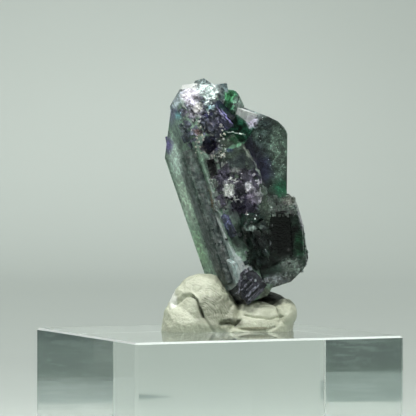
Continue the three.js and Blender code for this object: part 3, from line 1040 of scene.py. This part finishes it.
shade = add(
    tree, "ShaderNodeMapRange",
    {
        "Value": streak.outputs["Fac"], "From Min": 0.3, "From Max": 0.7,
        "To Min": STREAK_SHADE[0], "To Max": STREAK_SHADE[1],
    },
)
mist = add(
    tree, "ShaderNodeMapRange",
    {
        "Value": cloud.outputs["Fac"], "From Min": 0.3, "From Max": 0.7,
        "To Min": CLOUD_SHADE[0], "To Max": CLOUD_SHADE[1],
    },
)
mottle = add(
    tree, "ShaderNodeMapRange",
    {
        "Value": veil.outputs["Fac"], "From Min": 0.35, "From Max": 0.68,
        "To Min": VEIL_SHADE[0], "To Max": VEIL_SHADE[1],
    },
)
depth = add(
    tree, "ShaderNodeMapRange",
    {
        "Value": clear, "From Min": 0.2, "From Max": 0.8,
        "To Min": VEIL_SHARE[0], "To Max": VEIL_SHARE[1],
    },
)
veiled = add(
    tree, "ShaderNodeMix",
    {"Factor": depth.outputs["Result"], "A": 1.0, "B": mottle.outputs["Result"]},
)
strength = add(
    tree, "ShaderNodeMath", {0: shade.outputs["Result"], 1: mist.outputs["Result"]},
    operation="MULTIPLY",
)
strength = add(
    tree, "ShaderNodeMath", {0: strength.outputs["Value"], 1: veiled.outputs["Result"]},
    operation="MULTIPLY",
)
body = add(
    tree, "ShaderNodeVectorMath",
    {0: tint.outputs["Vector"], "Scale": strength.outputs["Value"]}, operation="SCALE",
)
print("body colour: the tint times", STREAK_SHADE, CLOUD_SHADE, VEIL_SHADE)

# %% [markdown]
# A phantom is an earlier outline of the same crystal, left inside as a purple zone. Each face has
# its own square of the UV map. The larger of its two distances from the middle draws square rings,
# which run parallel to the edges as the real zones do, and a ramp makes each ring strong or faint.

# %% Phantom zones
PHANTOM_COLOUR = "#2f2654"
RING_WOBBLE = 0.3
BANDS = (
    (0.0, "#808080"), (0.55, "#d0d0d0"), (0.74, "#f0f0f0"),
    (0.8, "#303030"), (0.9, "#909090"), (0.98, "#101010"),
)

square = add(tree, "ShaderNodeUVMap", uv_map="face")
centred = add(
    tree, "ShaderNodeMapping",
    {"Vector": square.outputs["UV"], "Location": (-1, -1, 0), "Scale": (2, 2, 0)},
)
sides = add(tree, "ShaderNodeVectorMath", {0: centred.outputs["Vector"]}, operation="ABSOLUTE")
side_parts = add(tree, "ShaderNodeSeparateXYZ", {"Vector": sides.outputs["Vector"]})
ring = add(
    tree, "ShaderNodeMath", {0: side_parts.outputs["X"], 1: side_parts.outputs["Y"]},
    operation="MAXIMUM",
)
ring_wobble = add(
    tree, "ShaderNodeMath", {0: cloud.outputs["Fac"], 1: RING_WOBBLE, 2: ring.outputs["Value"]},
    operation="MULTIPLY_ADD",
)
bands = add(tree, "ShaderNodeValToRGB", {"Fac": ring_wobble.outputs["Value"]})
while len(bands.color_ramp.elements) < len(BANDS):
    bands.color_ramp.elements.new(0.5)
for stop, (position, grey) in zip(bands.color_ramp.elements, BANDS):
    stop.position = position
    stop.color = linear(grey)
purple = add(
    tree, "ShaderNodeMath", {0: zoned, 1: bands.outputs["Color"]}, operation="MULTIPLY"
)
colour = add(
    tree, "ShaderNodeMix",
    {"Factor": purple.outputs["Value"], "A": body.outputs["Vector"], "B": linear(PHANTOM_COLOUR)},
    data_type="RGBA",
)
print("phantom zones:", len(BANDS), "bands")

# %% [markdown]
# Some colours belong to one spot of this specimen, such as a rust stain. Others are light painted
# at one spot: a glow along the slab's thin edge, highlights and glints, and painted shade in the
# dark gap behind a plate and in the hollows. Each is an ellipsoid with a soft edge that noise makes
# ragged. They are laid over each other in the order of the list, and some of them bring frost with
# them.

# %% Local zones
# each zone's tint, its middle and half sizes in millimetres, its turn in degrees about y, how much
# it covers and how much frost it brings
ZONES = (
    # the slab: a painted glow and highlight along its thin left edge, its dark lower end and pale
    # ridge
    ("#c3d8cd", (-6.3, -2, 31.5), (1.4, 9, 4.8), -12, 0.95, 0.7),
    ("#bbd0bc", (-4.3, -2, 23.5), (1.3, 9, 6.5), -18, 0.95, 0.7),
    ("#96b892", (-1.8, -2, 14.8), (1.3, 9, 5.5), -19, 0.9, 0.6),
    ("#323a39", (2.5, -7, 12.4), (1.5, 6, 7.0), -26, 0.75, 0),
    ("#3f4b46", (0.8, -7, 17.0), (1.3, 6, 5.5), -18, 0.6, 0),
    ("#9aa5a2", (1.6, -8, 22.4), (0.5, 5, 6.5), -17, 0.7, 0),
    # the crown: purple edges, frost, a rust stain and blue glints
    ("#5a3f96", (-7.4, 0, 34.1), (0.9, 9, 1.6), 0, 0.8, 0),
    ("#5f4f8e", (-6.2, 0, 40.0), (0.9, 9, 2.6), 12, 0.6, 0),
    ("#c9c5cf", (-3.2, -5, 43.0), (2.0, 9, 2.0), 20, 1, 0.9),
    ("#a096a2", (-2.6, -5, 39.8), (1.8, 6, 1.2), 0, 0.65, 0.6),
    ("#bbb9b6", (-1.8, -5, 40.8), (1.0, 9, 1.1), 20, 0.9, 0.8),
    ("#e6f2f0", (0.2, -3, 44.0), (2.0, 9, 1.6), 0, 0.85, 0.6),
    ("#8f5a30", (-2.0, -5, 36.3), (0.8, 5, 0.7), 0, 0.5, 0.6),
    ("#7fb9c4", (-5.4, -3, 39.3), (0.8, 6, 0.8), 0, 0.8, 0.3),
    ("#cdeef5", (0.5, -6, 40.7), (0.6, 6, 0.5), 0, 1, 1),
    # painted shade in the hollow and gap by the indigo cube, painted lilac highlights, a green tip
    ("#2a2150", (0.5, -5, 34.0), (1.8, 6, 1.7), 0, 0.9, 0),
    ("#10131c", (3.5, -6, 39.6), (1.5, 6, 2.6), -30, 0.85, 0),
    ("#b5b0d8", (2.4, -6, 39.6), (0.22, 6, 1.7), -29, 0.9, 0.3),
    ("#9c98cc", (3.4, -6, 39.0), (0.24, 6, 1.9), -34, 0.9, 0.3),
    ("#6a6484", (1.4, -6, 37.6), (1.6, 6, 1.3), 0, 0.6, 0),
    ("#6cc487", (3.9, -2, 43.0), (1.1, 6, 0.8), 20, 0.9, 0),
    # the grey crust behind the crown, and the crown's left face, with frost and a painted highlight
    ("#7f8987", (6.5, -4, 41.2), (2.0, 6, 2.6), -10, 0.9, 1),
    ("#7d8886", (8.8, -4, 40.6), (2.4, 7, 0.8), 24, 0.8, 0.8),
    ("#d5e2ea", (-5.6, -3, 41.8), (0.8, 6, 1.3), 24, 0.9, 0.8),
    ("#7a908a", (-5.4, -3, 37.0), (1.3, 6, 2.4), 0, 0.6, 0.3),
    # the green cube's rims
    ("#7fb795", (5.2, -6, 33.9), (2.0, 4, 0.45), -20, 0.6, 0.3),
    ("#15512f", (5.2, -6, 35.0), (1.2, 4, 0.8), 0, 0.8, 0),
    ("#dfeee6", (5.0, -6, 36.2), (1.9, 6, 0.13), 9, 0.9, 0.5),
    ("#4a63a8", (3.9, -6, 33.0), (0.5, 4, 0.4), 0, 0.4, 0),
    # the upper-right cube: lilac top, misty side, green foot, purple and dark bands
    ("#a9a5b4", (8.0, -5, 38.4), (1.3, 6, 1.4), 0, 0.9, 0.7),
    ("#77907f", (13.0, -4, 34.2), (1.9, 7, 5.6), 0, 0.75, 0),
    ("#118457", (13.4, -3, 26.2), (1.4, 7, 1.6), 0, 0.8, 0),
    ("#231e38", (9.2, -4, 30.4), (2.2, 5, 5.4), -12, 0.8, 0),
    ("#16291f", (12.4, -4, 38.0), (2.0, 6, 0.5), 24, 0.7, 0),
    ("#0c1210", (10.2, -4, 37.2), (3.0, 6, 0.22), -18, 0.85, 0),
    ("#2a2850", (10.2, -4, 29.4), (1.7, 6, 2.8), 0, 0.7, 0),
    # the pale rim of the oval plate, palest at its top
    ("#a3ad9f", (7.2, -5, 32.7), (0.32, 4, 2.2), -32, 0.85, 0.4),
    ("#8c988c", (9.1, -5, 29.4), (0.32, 4, 1.8), -26, 0.85, 0.4),
    ("#7f8c84", (10.5, -5, 26.0), (0.32, 4, 2.0), -19, 0.8, 0.3),
    ("#6b7a70", (11.3, -5, 22.6), (0.32, 4, 1.7), -7, 0.8, 0.3),
    # the middle: painted shade in the dark gaps and hollows, a purple mass, white leaf-like patches
    ("#26232f", (4.8, -6, 21.8), (1.4, 5, 2.0), -15, 0.75, 0),
    ("#3a3050", (6.8, -7, 23.4), (3.0, 5, 1.5), -20, 0.6, 0),
    ("#c3c6c2", (3.8, -7, 25.9), (1.1, 5, 1.5), -10, 1, 0.9),
    ("#bdbbc1", (7.4, -7, 26.4), (1.0, 5, 1.0), 0, 1, 0.9),
    ("#a9aca7", (5.0, -7, 29.2), (1.1, 5, 0.6), 0, 0.5, 0.5),
    ("#8d8596", (8.4, -7, 24.6), (1.4, 5, 1.4), 0, 0.7, 0.6),
    ("#879a92", (8.2, -7, 18.9), (2.3, 4, 0.42), -6, 0.75, 0.3),
    ("#0b100e", (9.4, -6, 16.4), (1.7, 6, 2.4), 0, 0.8, 0),
    ("#1a2321", (5.5, -6, 17.4), (2.0, 6, 3.4), -20, 0.8, 0),
    ("#8a7350", (0.6, -8, 24.0), (0.25, 5, 2.2), -12, 0.6, 0),
    ("#1f1c26", (0.6, -7, 30.4), (1.0, 5, 2.3), -10, 0.85, 0),
    # a painted glint on the glassy cube
    ("#f4faf8", (8.5, -7, 20.6), (0.22, 4, 0.22), 0, 1, 1),
    # the lower-right crystal: paler top and edges, black face and green side
    ("#6b6a60", (15.4, -4, 24.0), (2.2, 8, 0.9), -12, 0.5, 0.6),
    ("#8a8790", (17.2, -4, 20.4), (0.7, 8, 3.6), -8, 0.8, 0.6),
    ("#020403", (13.7, -7, 17.2), (2.9, 5, 4.8), -4, 1.0, 0),
    ("#174a2c", (17.0, -4, 15.6), (1.3, 8, 3.4), 0, 0.9, 0),
    ("#87928b", (15.4, -6, 11.8), (2.6, 6, 1.5), 30, 0.75, 0.45),
    ("#8b8f95", (12.6, -6, 9.4), (2.4, 6, 1.1), 0, 0.8, 0.5),
    ("#2f2510", (10.4, 0, 6.8), (1.5, 8, 3.2), 42, 1.0, 1),
)
print("local zones:", len(ZONES))

# %% Lay the zones on
ZONE_WOBBLE = 1.5
WOBBLE_PER_MM = 1.3
ZONE_EDGE = (1.3, 0.5)


def soft_spot(tree, point, at, half, degrees, share, edge, ragged=None):
    """The share inside an ellipsoid, fading to nothing between the two reaches of its edge."""
    inside = add(
        tree, "ShaderNodeMapping",
        {
            "Vector": point, "Location": at,
            "Rotation": (0, math.radians(degrees), 0), "Scale": half,
        },
        vector_type="TEXTURE",
    )
    reach = add(tree, "ShaderNodeVectorMath", {0: inside.outputs["Vector"]}, operation="LENGTH")
    if ragged is not None:
        noise_socket, amount = ragged
        reach = add(
            tree, "ShaderNodeMath", {0: noise_socket, 1: amount, 2: reach.outputs["Value"]},
            operation="MULTIPLY_ADD",
        )
    mask = add(
        tree, "ShaderNodeMapRange",
        {
            "Value": reach.outputs["Value"], "From Min": edge[0], "From Max": edge[1],
            "To Min": 0.0, "To Max": share,
        },
        interpolation_type="SMOOTHSTEP",
    )
    return mask.outputs["Result"]


wobble = add(tree, "ShaderNodeTexNoise", {"Vector": spot, "Scale": WOBBLE_PER_MM, "Detail": 8.0})
shift = add(
    tree, "ShaderNodeVectorMath",
    {0: wobble.outputs["Color"], 1: (ZONE_WOBBLE,) * 3, 2: spot}, operation="MULTIPLY_ADD",
)
zone_frost = 0.0
for zone_tint, at, half, degrees, share, crust in ZONES:
    middle = Vector(at) + Vector((ZONE_WOBBLE, ZONE_WOBBLE, ZONE_WOBBLE)) / 2
    mask = soft_spot(tree, shift.outputs["Vector"], middle, half, degrees, share, ZONE_EDGE)
    colour = add(
        tree, "ShaderNodeMix",
        {"Factor": mask, "A": colour.outputs["Result"], "B": linear(zone_tint)},
        data_type="RGBA",
    )
    if crust:
        frosting = add(
            tree, "ShaderNodeMath", {0: mask, 1: crust, 2: zone_frost},
            operation="MULTIPLY_ADD", use_clamp=True,
        )
        zone_frost = frosting.outputs["Value"]
print("zones with frost:", sum(1 for zone in ZONES if zone[-1]))

# %% [markdown]
# Fluorite cleaves easily, so clear crystals hold fine cracks that catch the light. They are the
# borders of Voronoi cells, a little over a millimetre wide and warped by noise. Both the cracks
# and a patchy light and shade are laid over all colours, and they are strongest in clear crystals.

# %% Cleavage cracks
CRACKS_PER_MM = 0.75
CRACK_WARP = 0.8
CRACK_WIDTH = 0.08
CRACK_LIGHT = 4.0
PATCH_SHADE = (0.2, 1.5)

warp = add(
    tree, "ShaderNodeVectorMath",
    {0: speck.outputs["Color"], 1: (CRACK_WARP,) * 3, 2: spot}, operation="MULTIPLY_ADD",
)
cracks = add(
    tree, "ShaderNodeTexVoronoi",
    {"Vector": warp.outputs["Vector"], "Scale": CRACKS_PER_MM, "Detail": 2.0},
    feature="DISTANCE_TO_EDGE",
)
vein = add(
    tree, "ShaderNodeMapRange",
    {
        "Value": cracks.outputs["Distance"], "From Min": 0.0, "From Max": CRACK_WIDTH,
        "To Min": 0.5, "To Max": 0.0,
    },
)
vein_share = add(
    tree, "ShaderNodeMath", {0: vein.outputs["Result"], 1: clear}, operation="MULTIPLY"
)
crack_light = add(
    tree, "ShaderNodeMath", {0: vein_share.outputs["Value"], 1: CRACK_LIGHT, 2: 1.0},
    operation="MULTIPLY_ADD",
)
patchy = add(
    tree, "ShaderNodeMapRange",
    {
        "Value": veil.outputs["Fac"], "From Min": 0.38, "From Max": 0.6,
        "To Min": PATCH_SHADE[0], "To Max": PATCH_SHADE[1],
    },
)
patched = add(
    tree, "ShaderNodeMix",
    {"Factor": depth.outputs["Result"], "A": 1.0, "B": patchy.outputs["Result"]},
)
relief = add(
    tree, "ShaderNodeMath", {0: crack_light.outputs["Value"], 1: patched.outputs["Result"]},
    operation="MULTIPLY",
)
colour = add(
    tree, "ShaderNodeVectorMath", {0: colour.outputs["Result"], "Scale": relief.outputs["Value"]},
    operation="SCALE",
)
print("cracks:", CRACKS_PER_MM, "per mm")

# %% [markdown]
# The frost of the habit, broken up by specks, whitens a face and blocks the light, and so does the
# frost of a zone. The clearness of the habit lets light in and makes the face glossy.

# %% Frost and clearness
FROST_COLOUR = "#d9dcd8"
FROST_FROM = 0.8
FROST_FULL = 1.5
FROST_ROUGHER = 0.35
LET_IN = (0.2, 0.8)
MATT_TO_GLOSSY = (0.42, 0.08)

frost_level = add(
    tree, "ShaderNodeMath", {0: frosted, 1: speck.outputs["Fac"]}, operation="ADD"
)
frost = add(
    tree, "ShaderNodeMapRange",
    {"Value": frost_level.outputs["Value"], "From Min": FROST_FROM, "From Max": FROST_FULL},
)
coloured = add(
    tree, "ShaderNodeMix",
    {"Factor": frost.outputs["Result"], "A": colour.outputs["Vector"], "B": linear(FROST_COLOUR)},
    data_type="RGBA",
)
crusted = add(
    tree, "ShaderNodeMath", {0: frost.outputs["Result"], 1: zone_frost}, operation="ADD",
    use_clamp=True,
)
let_in = add(
    tree, "ShaderNodeMapRange", {"Value": clear, "To Min": LET_IN[0], "To Max": LET_IN[1]}
)
frost_loss = add(
    tree, "ShaderNodeMath", {0: 1.0, 1: crusted.outputs["Value"]}, operation="SUBTRACT"
)
clear_share = add(
    tree, "ShaderNodeMath", {0: let_in.outputs["Result"], 1: frost_loss.outputs["Value"]},
    operation="MULTIPLY",
)
gloss = add(
    tree, "ShaderNodeMapRange",
    {"Value": clear, "To Min": MATT_TO_GLOSSY[0], "To Max": MATT_TO_GLOSSY[1]},
)
gloss_frost = add(
    tree, "ShaderNodeMath",
    {0: crusted.outputs["Value"], 1: FROST_ROUGHER, 2: gloss.outputs["Result"]},
    operation="MULTIPLY_ADD",
)
tree.links.new(coloured.outputs["Result"], shader.inputs["Base Color"])
tree.links.new(clear_share.outputs["Value"], shader.inputs["Transmission Weight"])
tree.links.new(gloss_frost.outputs["Value"], shader.inputs["Roughness"])
print("frost", FROST_COLOUR, "and light let in", LET_IN)

# %% [markdown]
# Etching leaves pits that are much finer than the mesh, so they are a bump. They are deepest on
# faces of middling clearness, because matt faces are worn smooth and the clearest are fresh.

# %% Etching
PITS_PER_MM = 3.2
PIT_DEPTH = 0.0003
ETCH_STRENGTH = (0.5, 0.9)
FRESH_LEFT = 0.2

pits = add(tree, "ShaderNodeTexNoise", {"Vector": spot, "Scale": PITS_PER_MM, "Detail": 8.0})
etched = add(
    tree, "ShaderNodeMapRange",
    {
        "Value": clear, "From Min": 0.3, "From Max": 0.8,
        "To Min": ETCH_STRENGTH[0], "To Max": ETCH_STRENGTH[1],
    },
)
fresh = add(
    tree, "ShaderNodeMapRange",
    {"Value": clear, "From Min": 0.82, "From Max": 0.9, "To Min": 1.0, "To Max": FRESH_LEFT},
)
etch_depth = add(
    tree, "ShaderNodeMath", {0: etched.outputs["Result"], 1: fresh.outputs["Result"]},
    operation="MULTIPLY",
)
etch = add(
    tree, "ShaderNodeBump",
    {
        "Height": pits.outputs["Fac"], "Strength": etch_depth.outputs["Value"],
        "Distance": PIT_DEPTH,
    },
)
tree.links.new(etch.outputs["Normal"], shader.inputs["Normal"])
print("etching:", PITS_PER_MM, "pits per mm")

# %% [markdown]
# Last come the refractive index and the light lost on the way through. At this density half of the
# red is gone after two and a half millimetres and half of the green after three and a half.

# %% Glass and volume
FLUORITE_IOR = 1.434
ABSORB_COLOUR = "#3f9f7c"
ABSORB_PER_METRE = 300.0

shader.inputs["IOR"].default_value = FLUORITE_IOR
absorb = add(
    tree, "ShaderNodeVolumeAbsorption",
    {"Color": linear(ABSORB_COLOUR), "Density": ABSORB_PER_METRE},
)
tree.links.new(absorb.outputs["Volume"], tree.nodes["Material Output"].inputs["Volume"])
cluster.data.materials.clear()
cluster.data.materials.append(fluorite)
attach(cluster, "root")
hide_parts("fluorite_cluster")
print("fluorite absorbs at", ABSORB_PER_METRE, "per metre")

# %% [markdown]
# ## Putty
# Mineral putty is soft, so a thumb leaves rounded lumps, folds where one lump was pressed over
# another, a crack, and the ridges of a fingerprint. The lumps are spheres, scaled and placed as in
# the solid. A voxel remesh melts them into one skin, which is fine enough to be worked like clay.
# It could be sculpted by hand as well, but a script gives the same lump each time.

# %% Putty lumps
PUTTY_LUMPS = (
    {"half": (6.3, 6.2, 9.0), "at": (-0.5, -3.2, 1.6), "turn": (0, -5, 0)},
    {"half": (5.4, 6.6, 5.4), "at": (-3.3, -3.0, 0.6), "turn": (0, 8, 0)},
    {"half": (4.9, 6.4, 7.9), "at": (-3.0, -2.0, 1.4), "turn": (0, 14, 0)},
    {"half": (9.2, 6.2, 4.6), "at": (6.4, -3.0, 0.8), "turn": (0, 2, 0)},
    {"half": (2.3, 6.0, 3.1), "at": (13.9, -1.0, 2.6), "turn": (0, 14, 0)},
    {"half": (5.0, 4.4, 6.2), "at": (11.0, 4.8, 1.0), "turn": (0, 0, 0)},
    {"half": (6.6, 5.6, 6.0), "at": (-0.4, 4.0, 1.2), "turn": (0, 8, 0)},
)
PUTTY_UNDER = -0.6
PUTTY_VOXEL = 0.12
ROUNDING_PASSES = 5

bm = bmesh.new()
for lump in PUTTY_LUMPS:
    made = bmesh.ops.create_uvsphere(bm, u_segments=40, v_segments=28, radius=1.0)
    bmesh.ops.scale(bm, vec=lump["half"], verts=made["verts"])
    bmesh.ops.transform(bm, matrix=placement(lump["at"], lump["turn"]), verts=made["verts"])
under = bmesh.ops.bisect_plane(
    bm, geom=[*bm.verts, *bm.edges, *bm.faces], plane_co=(0, 0, PUTTY_UNDER),
    plane_no=(0, 0, -1), clear_outer=True,
)
rim = [item for item in under["geom_cut"] if isinstance(item, bmesh.types.BMEdge)]
bmesh.ops.edgenet_fill(bm, edges=rim)
clay = show(object_from(bm, "clay"))
remesh = clay.modifiers.new("melt", "REMESH")
remesh.mode = "VOXEL"
remesh.voxel_size = PUTTY_VOXEL
smooth = clay.modifiers.new("round", "SMOOTH")
smooth.factor = 0.5
smooth.iterations = ROUNDING_PASSES
clay_mesh = finished(clay)
bpy.data.objects.remove(clay)
print("putty skin:", len(clay_mesh.vertices), "vertices")

# %% [markdown]
# Each mark of the hand is a line across the front of the putty, given by its points to the right
# and up, the half width of the mark and how deep it is. A groove sinks the skin under its line and
# a fold, whose depth is below zero, raises it. The fingerprint is a set of rings, a little under
# half a millimetre apart, that are only pressed in where the thumb lay. The whole skin is also a
# little lumpy, at four sizes.

# %% Marks of the hand
GROOVES = {
    "crack": (((-2.9, 6.7), (-2.0, 5.9), (-1.7, 4.8), (-1.2, 3.9), (-0.9, 2.8)), 0.17, 0.9),
    "slit": (((-1.5, 4.2), (-1.0, 3.1)), 0.24, 0.9),
    "flap edge": (((-6.6, 3.9), (-5.2, 5.4), (-4.1, 6.5), (-2.9, 6.7)), 0.26, 0.4),
    "flap side": (((-0.9, 2.8), (0.2, 1.2), (1.1, -0.2)), 0.3, 0.4),
    "crevice": (((2.4, 1.5), (3.6, 2.0), (4.6, 1.5), (5.6, 2.2)), 0.36, 1.2),
    "dome foot": (((5.6, 5.0), (5.2, 3.2), (5.0, 1.4), (4.0, 0.6)), 0.45, 0.9),
    "upper fold": (((6.6, 3.2), (8.8, 2.7), (11.2, 2.5), (13.4, 2.8)), 0.2, 0.4),
    "lower fold": (((4.4, 1.0), (7.0, 0.4), (10.6, 0.1), (12.2, 0.9)), 0.3, 0.25),
    "lip foot": (((13.0, 1.8), (14.2, 3.6), (14.6, 5.0)), 0.4, 0.2),
}
FOLDS = {
    "crumple": (((-4.2, 6.9), (-3.2, 7.1), (-2.2, 6.4), (-1.3, 5.2)), 0.35, -0.3),
    "rim lump": (((-6.9, 3.4), (-6.2, 5.4), (-5.2, 7.0)), 0.9, -0.5),
    "roll": (((6.6, 4.6), (9.6, 4.1), (12.4, 3.9)), 0.7, -0.35),
    "smear": (((-4.6, 1.2), (-2.2, 1.6), (1.0, 1.2), (3.4, 0.6)), 0.8, -0.3),
}
PRINT_CENTRE = (-2.6, 1.2)
PRINT_MIDDLE = (1.9, 5.6)
PRINT_REACH = 4.4
PRINT_PITCH = 0.44
PRINT_SINK = 0.17
LUMPY = ((0.28, 0.45), (0.9, 0.12), (2.2, 0.07), (4.0, 0.05))
print("marks of the hand:", ", ".join((*GROOVES, *FOLDS)))

# %% Work the clay
MARKED_TO = 1.5
MARKED_FACING = 0.35
MARK_REACH = 3.0
MARK_BEND = 0.3
DRIFT_PER_MM = 1.3
RING_SWAY = 0.45
RING_SWAY_PER_MM = 0.9


def distance_to_line(spot, line):
    """How far a point of the front view is from a line through several points."""
    nearest = 1e9
    for start, end in zip(line, line[1:]):
        start, end = Vector(start), Vector(end)
        along = end - start
        share = min(1.0, max(0.0, (spot - start).dot(along) / along.length_squared))
        nearest = min(nearest, (spot - start - along * share).length)
    return nearest


def hand_marks(co, move):
    """The move of the skin at a point of the front, with the marks of the hand added."""
    front = Vector((co.x, co.z))
    drift = noise.noise(co * DRIFT_PER_MM)
    for line, half, sink in (*GROOVES.values(), *FOLDS.values()):
        away = abs(distance_to_line(front, line) + MARK_BEND * drift * half) / half
        if away < MARK_REACH:
            move -= sink * math.exp(-away * away)
    press = 1.0 - (front - Vector(PRINT_MIDDLE)).length / PRINT_REACH
    if press > 0.0:
        sway = RING_SWAY * noise.noise(co * RING_SWAY_PER_MM)
        ring = (front - Vector(PRINT_CENTRE)).length + sway
        depth = PRINT_SINK * min(1.0, 2.0 * press) * (0.6 + 1.4 * drift)
        move -= depth * (0.5 + 0.5 * math.sin(2 * math.pi * ring / PRINT_PITCH))
    return move


coords = [vert.co.copy() for vert in clay_mesh.vertices]
normals = [vert.normal.copy() for vert in clay_mesh.vertices]
for vert, co, normal in zip(clay_mesh.vertices, coords, normals):
    move = sum(height * noise.noise(co * pitch) for pitch, height in LUMPY)
    if co.y < MARKED_TO and normal.y < MARKED_FACING:
        move = hand_marks(co, move)
    vert.co = co + normal * move
print("worked skin:", len(coords), "vertices")

# %% [markdown]
# The crystals were pressed into it, so every large crystal, grown by a hair, is cut out of the
# putty, and so is everything under the foot. That leaves the sharp-edged beds that stay behind when
# a crystal is lifted out, and no two pieces run through each other.

# %% Press the crystals in
CRYSTAL_CLEARANCE = 0.05
PUTTY_FOOT = 0.02
UNDER_SIDE = 60.0

rooms = []
for name, spec in CRYSTALS.items():
    size = [side + 2 * CRYSTAL_CLEARANCE for side in spec["size"]]
    cuts = []
    for point, out in spec.get("cuts", ()):
        cuts.append((Vector(point) + Vector(out).normalized() * CRYSTAL_CLEARANCE, out))
    rooms.append(crystal(f"room_{name}", size, spec["at"], spec["turn"], cuts, wear=0.0))
bm = bmesh.new()
bmesh.ops.create_cube(bm, size=UNDER_SIDE)
bmesh.ops.translate(bm, vec=(0, 0, PUTTY_FOOT - UNDER_SIDE / 2), verts=bm.verts)
rooms.append(object_from(bm, "under"))
clay_mesh = merged(bpy.data.objects.new("clay", clay_mesh), rooms, "DIFFERENCE")
clay_mesh = largest_island(clay_mesh)
clay_mesh.transform(to_row)
for polygon in clay_mesh.polygons:
    polygon.use_smooth = True
clay = show(bpy.data.objects.new("putty_lump", clay_mesh))
clay_mesh.calc_loop_triangles()
print("putty:", len(clay_mesh.loop_triangles), "triangles")

# %% [markdown]
# ## Putty finish
# Mineral putty is a pale grey-green, slightly greasy clay, so its sheen is soft. Its tone drifts
# between two greys. Painted shade darkens its back wall under the crystals and the front of its
# dome, a painted highlight brightens its left rim, a few spots make it darker low at the front,
# and a fine grain keeps it from looking like plastic.

# %% Putty material
PUTTY_TONES = ("#a2a690", "#c6cab5")
PUTTY_ROUGHNESS = 0.34
TONE_PER_MM = 0.5
GRAIN_PER_MM = 5.0
GRAIN_DEPTH = 0.0002
# each spot's tint, its middle and half sizes in millimetres and how much it covers
STAINS_AND_PAINTED_LIGHT = (
    # painted shade on the back wall, which lies in the crystals' shadow
    ("#262b1f", (13.0, 5.2, 6.4), (7.5, 5.0, 5.0), 1.0),
    # painted shade on the front of the dome, darker than its lit top
    ("#7f8371", (1.2, -8.8, 3.8), (4.2, 4.4, 3.4), 0.75),
    ("#a2a793", (-3.4, -9.5, 0.8), (4.0, 4.0, 1.6), 0.5),
    ("#6f6a4a", (8.6, -7.5, 0.7), (3.4, 4.0, 0.35), 0.6),
    ("#5e6152", (4.6, -8.0, 1.9), (2.0, 4.0, 0.8), 0.7),
    # a painted highlight on the left rim
    ("#e9ece2", (-6.2, -2.0, 5.4), (0.9, 6.0, 2.2), 0.9),
)
PUTTY_SPOT_EDGE = (1.6, 1.1)
PUTTY_SPOT_RAG = 0.8

putty, tree, shader = new_material("mineral_putty_pressed")
spot = in_millimetres(tree)
cloud = add(tree, "ShaderNodeTexNoise", {"Vector": spot, "Scale": TONE_PER_MM, "Detail": 5.0})
tone = add(
    tree, "ShaderNodeMix",
    {"Factor": cloud.outputs["Fac"], "A": linear(PUTTY_TONES[0]), "B": linear(PUTTY_TONES[1])},
    data_type="RGBA",
)
ragged = (cloud.outputs["Fac"], PUTTY_SPOT_RAG)
for spot_tint, at, half, share in STAINS_AND_PAINTED_LIGHT:
    mask = soft_spot(tree, spot, at, half, 0, share, PUTTY_SPOT_EDGE, ragged)
    tone = add(
        tree, "ShaderNodeMix",
        {"Factor": mask, "A": tone.outputs["Result"], "B": linear(spot_tint)},
        data_type="RGBA",
    )
fine_grain = add(tree, "ShaderNodeTexNoise", {"Vector": spot, "Scale": GRAIN_PER_MM, "Detail": 6.0})
bump = add(
    tree, "ShaderNodeBump",
    {"Height": fine_grain.outputs["Fac"], "Strength": 0.5, "Distance": GRAIN_DEPTH},
)
tree.links.new(tone.outputs["Result"], shader.inputs["Base Color"])
tree.links.new(bump.outputs["Normal"], shader.inputs["Normal"])
shader.inputs["Roughness"].default_value = PUTTY_ROUGHNESS
clay.data.materials.clear()
clay.data.materials.append(putty)
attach(clay, "root")
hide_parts("putty")
print("putty stains:", len(STAINS_AND_PAINTED_LIGHT))
